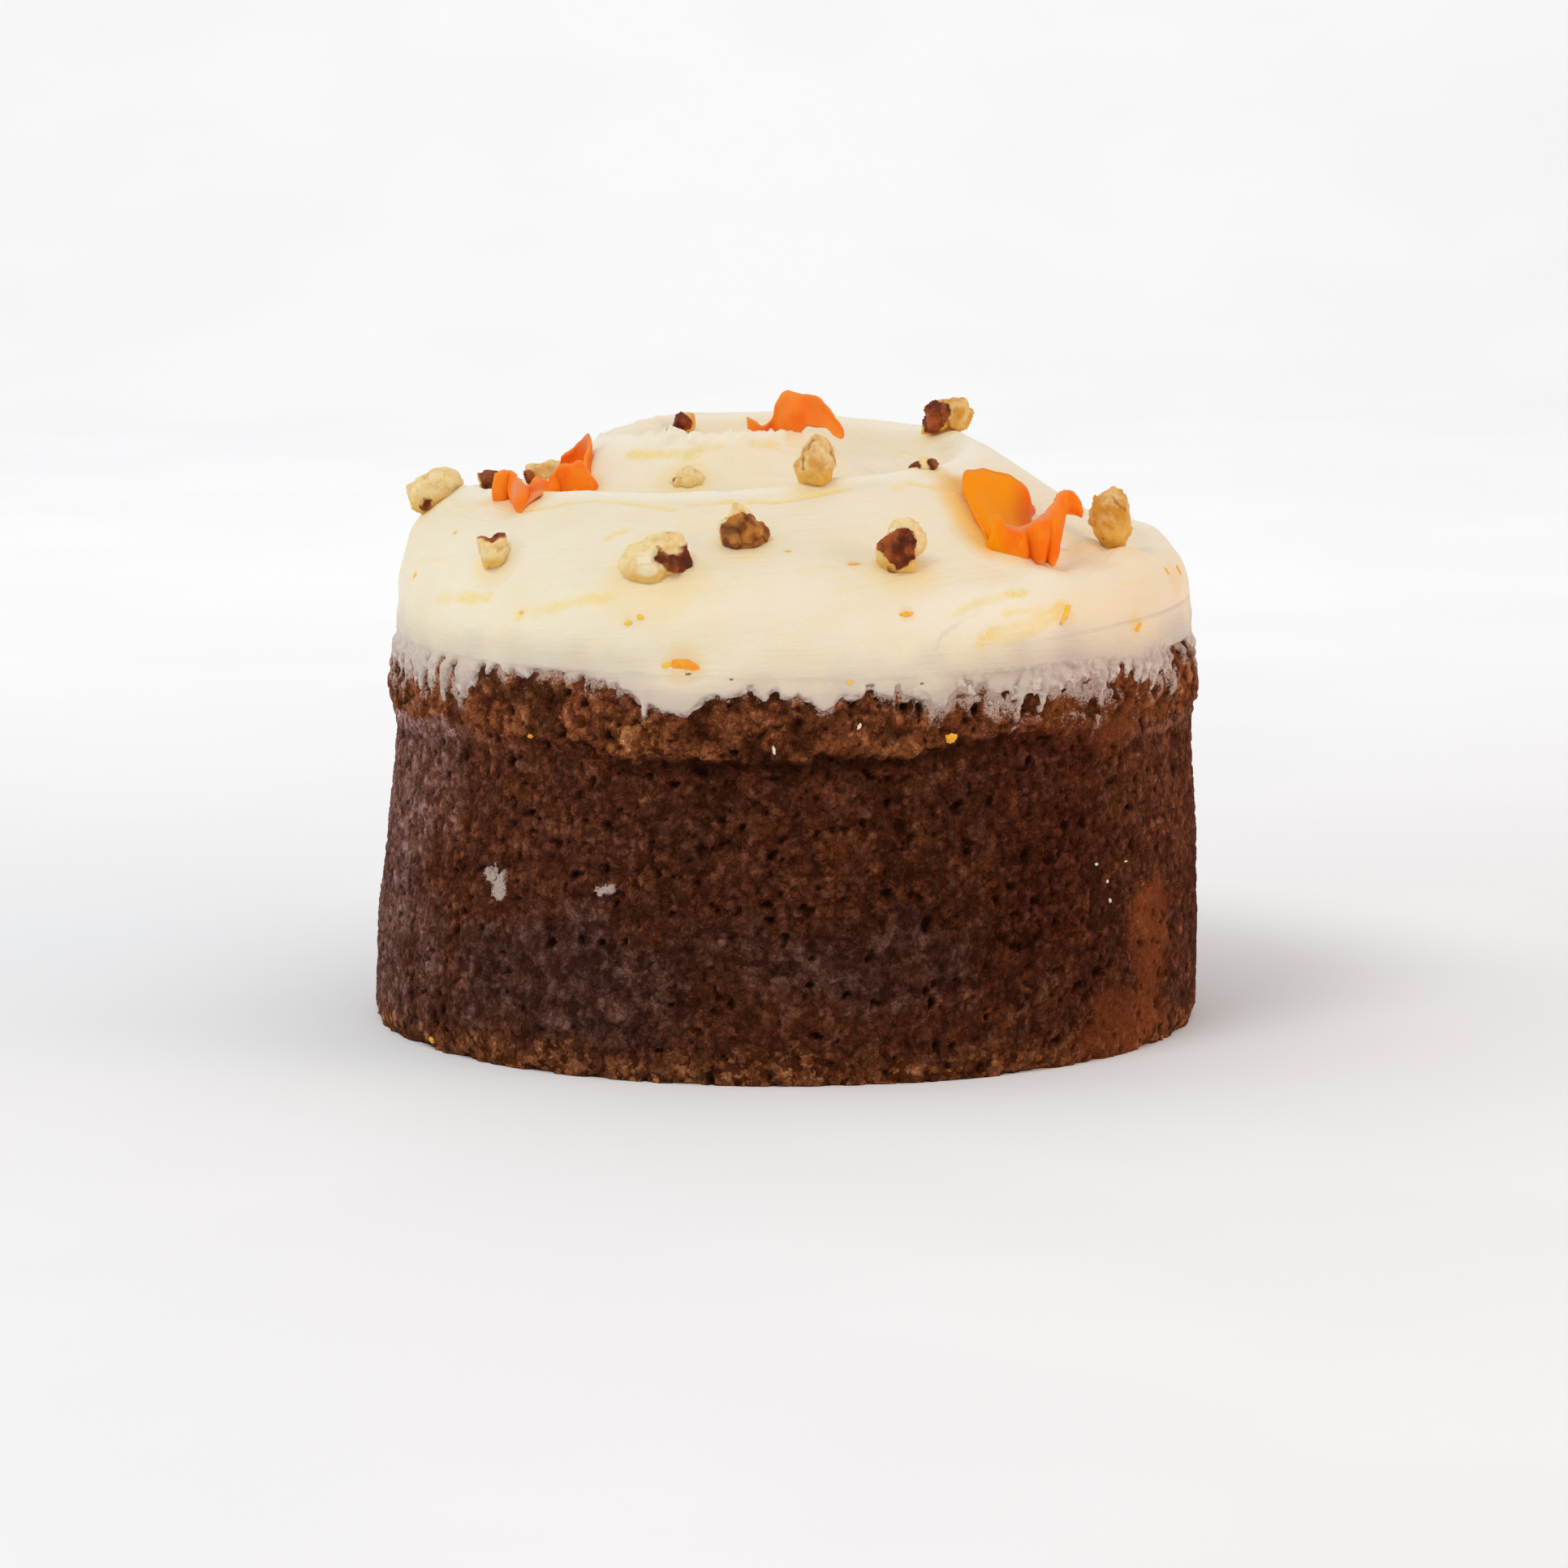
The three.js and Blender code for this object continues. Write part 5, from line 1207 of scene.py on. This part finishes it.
def frosting_material():
    finish = Finish("frosting_cream")
    on_top, on_side = drawn_marks(finish, "inwards", "along"), drawn_marks(finish, "level", "turned")
    marks = finish.mix_number(finish.value("topside"), on_side, on_top)
    marks = finish.mix_number(finish.value("calm"), marks, 0.5)
    cream, pale, yellow = (0.90, 0.79, 0.56), (0.91, 0.82, 0.63), (0.93, 0.71, 0.22)
    colour = finish.mix(finish.ramp(finish.cloud(16), 0.35, 0.65), cream, pale)
    # Painted shade in the valleys behind the crests.
    colour = finish.tint(colour, "valley_shade", 0.6, (0.87, 0.745, 0.50))
    # Painted highlight whitening the crests.
    colour = finish.tint(colour, "crest", 0.6, (0.94, 0.89, 0.75))
    # Painted warm reflected light on the right flank.
    colour = finish.tint(colour, "side", 0.6, (0.88, 0.70, 0.46))
    streak = finish.maths("MULTIPLY", finish.ramp(marks, 0.52, 0.64), finish.value("zest"))
    broken = finish.maths("MULTIPLY", streak, finish.ramp(finish.cloud(2.2), 0.38, 0.56))
    colour = finish.mix(broken, colour, yellow)
    colour = finish.tint(colour, "streak", finish.ramp(finish.cloud(0.8), 0.3, 0.6, 0.45, 0.95), yellow)
    colour = finish.tint(colour, "oil", 0.45, (0.93, 0.70, 0.30))
    colour = finish.mix(finish.value("stain"), colour, (0.96, 0.53, 0.085))
    colour = finish.mix(finish.value("thin"), colour, (0.53, 0.43, 0.375))
    patchy = finish.ramp(finish.cloud(1.6, 4, 0.65), 0.35, 0.65)
    sheer = finish.mix(patchy, (0.34, 0.215, 0.165), (0.72, 0.62, 0.55))
    colour = finish.mix(finish.value("sheer"), colour, sheer)
    finish.bump((marks, 0.3), (finish.cloud(1.3), 0.12), (finish.cloud(0.35, 2), 0.05))
    return finish.wear(colour, 0.46, 0.36, (0.3, (1.0, 0.75, 0.5)))


def walnut_material():
    finish = Finish("walnut_kernel")
    drift = finish.ramp(finish.cloud(2.6), 0.3, 0.7, -0.3, 0.3)
    honeyed = finish.ramp(finish.maths("ADD", finish.value("honey"), drift), 0.0, 1.0)
    flesh = finish.mix(honeyed, (0.89, 0.72, 0.37), (0.68, 0.32, 0.035))
    flesh = finish.tint(flesh, "low", 0.8, (0.80, 0.48, 0.085))
    # Painted shade in the grooves and creases of the flesh.
    flesh = finish.tint(flesh, "shaded_crease", 0.22, (0.58, 0.28, 0.06))
    flesh = finish.tint(flesh, "fresh", 0.8, (0.92, 0.81, 0.56))
    mottled = finish.ramp(finish.cloud(3.0, 2, 0.5), 0.36, 0.66)
    maroon = finish.mix(mottled, (0.12, 0.0150, 0.0030), (0.36, 0.070, 0.014))
    golden = finish.mix(mottled, (0.20, 0.052, 0.006), (0.60, 0.26, 0.050))
    skin = finish.mix(finish.value("gold"), maroon, golden)
    # Painted shade in the creases of the skin.
    skin = finish.tint(skin, "shaded_crease", 0.6, (0.045, 0.010, 0.005))
    covered = finish.value("skin")
    colour = finish.tint(finish.mix(covered, flesh, skin), "vein", 0.75, (0.34, 0.115, 0.026))
    finish.bump((finish.cloud(0.7, 4, 0.6), 0.14))
    return finish.wear(colour, finish.ramp(covered, 0, 1, 0.4, 0.27), 0.13, (0.45, (1.0, 0.6, 0.25)))


def carrot_material():
    finish = Finish("carrot_peel")
    fibres = finish.cloud(0.5, 3, 0.6, squash=(1, 1, 0.35))
    patches = finish.ramp(finish.cloud(4.5), 0.35, 0.65)
    colour = finish.mix(patches, (1.0, 0.170, 0.004), (1.0, 0.25, 0.010))
    # Painted shade on the back face of the peeling.
    colour = finish.tint(colour, "inside", 0.55, (0.94, 0.12, 0.002))
    colour = finish.mix(finish.ramp(fibres, 0.5, 0.75, 0, 0.3), colour, (1.0, 0.30, 0.03))
    colour = finish.tint(colour, "edge", 0.6, (1.0, 0.40, 0.11))
    # Painted light shining through the peeling.
    colour = finish.tint(colour, "glow", 0.95, (1.0, 0.31, 0.001))
    colour = finish.mix(finish.value("pale"), colour, (0.98, 0.34, 0.07))
    colour = finish.tint(colour, "shade", 0.45, (0.70, 0.085, 0.002))
    colour = finish.tint(colour, "sheer", 0.7, (0.80, 0.30, 0.15))
    finish.bump((fibres, 0.12), (finish.cloud(1.1, 2), 0.1))
    return finish.wear(colour, 0.42, 0.04, (0.3, (1.0, 0.34, 0.06)))


def flake_material(name, low, high, roughness):
    """A thin flake's colour, from low to high with its tone."""
    finish = Finish(name)
    drift = finish.ramp(finish.cloud(0.9), 0.3, 0.7, -0.15, 0.15)
    colour = finish.mix(finish.ramp(finish.maths("ADD", finish.value("tone"), drift), 0, 1), low, high)
    finish.bump((finish.cloud(0.5), 0.08))
    return finish.wear(colour, roughness, 0.3)


def sweep_material():
    """Nearly white paper, a little uneven."""
    finish = Finish("studio_sweep")
    uneven = finish.ramp(finish.cloud(120, 2), 0.4, 0.6)
    return finish.wear(finish.mix(uneven, (0.945, 0.955, 0.97), (0.9639, 0.9741, 0.9894)), 0.9, 0.5)


# ---------------------------------------------------------------- studio


def make_backdrop():
    """A pale floor that sweeps up into a wall well behind the cake."""
    half_width, front, back, bend, height = 3200, -2200, 1750, 700, 2800
    profile = [(front, 0), (back - bend, 0)]
    for turn in np.radians(np.arange(6, 90, 6)):
        profile.append((back - bend + bend * np.sin(turn), bend - bend * np.cos(turn)))
    profile += [(back, bend), (back, height)]
    points = [(x, y, z) for y, z in profile for x in (-half_width, half_width)]
    faces = [(2 * i, 2 * i + 1, 2 * i + 3, 2 * i + 2) for i in range(len(profile) - 1)]
    floor = mesh_piece("studio_sweep", points, faces)
    floor.data.materials.append(sweep_material())


def area_light(name, place, aim, size, power, colour=(1, 1, 1)):
    data = bpy.data.lights.new(name, "AREA")
    data.shape = "DISK"
    data.size = size
    data.energy = power
    data.color = colour
    light = bpy.data.objects.new(name, data)
    light.location = Vector(place)
    light.rotation_euler = (Vector(aim) - Vector(place)).to_track_quat("-Z", "Y").to_euler()
    bpy.context.scene.collection.objects.link(light)


def make_studio():
    world = bpy.data.worlds.new("studio_air")
    world.use_nodes = True
    background = world.node_tree.nodes["Background"]
    background.inputs["Color"].default_value = (1, 1, 1, 1)
    background.inputs["Strength"].default_value = 0.65
    bpy.context.scene.world = world
    # The lights: place, aim and size in metres, power in watts.
    middle = (0, 0, 0.06)
    area_light("key", (-0.55, -0.72, 1.28), middle, 0.6, 4.7)
    area_light("fill", (1.25, -0.45, 0.5), middle, 0.8, 4.2, (1, 0.62, 0.42))
    area_light("side", (-1.3, 0.1, 0.68), middle, 0.8, 2.0)
    area_light("wall", (0, 0.75, 0.9), (0, 1.7, 0.1), 1.2, 2.6)
    bpy.context.scene.view_settings.view_transform = "Standard"
    bpy.context.scene.view_settings.look = "None"


CAMERA_DISTANCE = 1200  # from the middle of the base
CAMERA_ELEVATION = 10.6  # degrees by which it looks down
CAMERA_AIM = (-0.4, 0, 41.8)
CAMERA_LENS, CAMERA_SENSOR = 148.5, 36


def make_camera():
    data = bpy.data.cameras.new("camera")
    data.lens = CAMERA_LENS
    data.sensor_width = CAMERA_SENSOR
    camera = bpy.data.objects.new("camera", data)
    tilt = np.radians(CAMERA_ELEVATION)
    place = Vector((CAMERA_AIM[0], -CAMERA_DISTANCE * np.cos(tilt), CAMERA_DISTANCE * np.sin(tilt))) * MM
    camera.location = place
    camera.rotation_euler = (Vector(CAMERA_AIM) * MM - place).to_track_quat("-Z", "Y").to_euler()
    bpy.context.scene.collection.objects.link(camera)
    bpy.context.scene.camera = camera


# ---------------------------------------------------------------- the scene

make_camera()
make_studio()
make_backdrop()
sponge_side = make_sponge(sponge_material())
frosting_face = make_frosting(frosting_material())
walnut_finish = walnut_material()
sphere = fine_sphere(WALNUT_DETAIL)
for number, (name, walnut) in enumerate(WALNUTS.items()):
    make_walnut(name, walnut, 100 + number, sphere, walnut_finish)
carrot_finish = carrot_material()
for number, (name, ribbon) in enumerate(RIBBONS.items()):
    make_ribbon(name, ribbon, 200 + number, carrot_finish)
orange_flake = flake_material("carrot_fleck", (0.96, 0.58, 0.05), (0.97, 0.30, 0.015), 0.6)
brown_flake = flake_material("brown_fleck", (0.30, 0.16, 0.07), (0.42, 0.20, 0.06), 0.7)
white_flake = flake_material("cream_fleck", (0.88, 0.80, 0.66), (0.80, 0.70, 0.55), 0.5)
lay_flakes("carrot_flecks", FLECKS, frosting_face, 301, FLAKE_LIFT, orange_flake)
lay_flakes("brown_flecks", BROWN_BITS, frosting_face, 302, FLAKE_LIFT, brown_flake)
lay_flakes("cream_lumps", CREAM_BITS, frosting_face, 303, LUMP_LIFT, white_flake)
lay_flakes("baked_shreds", BAKED_SHREDS, sponge_side, 304, SHRED_LIFT, orange_flake)
lay_flakes("pale_specks", PALE_SPECKS, sponge_side, 305, SPECK_LIFT, white_flake)
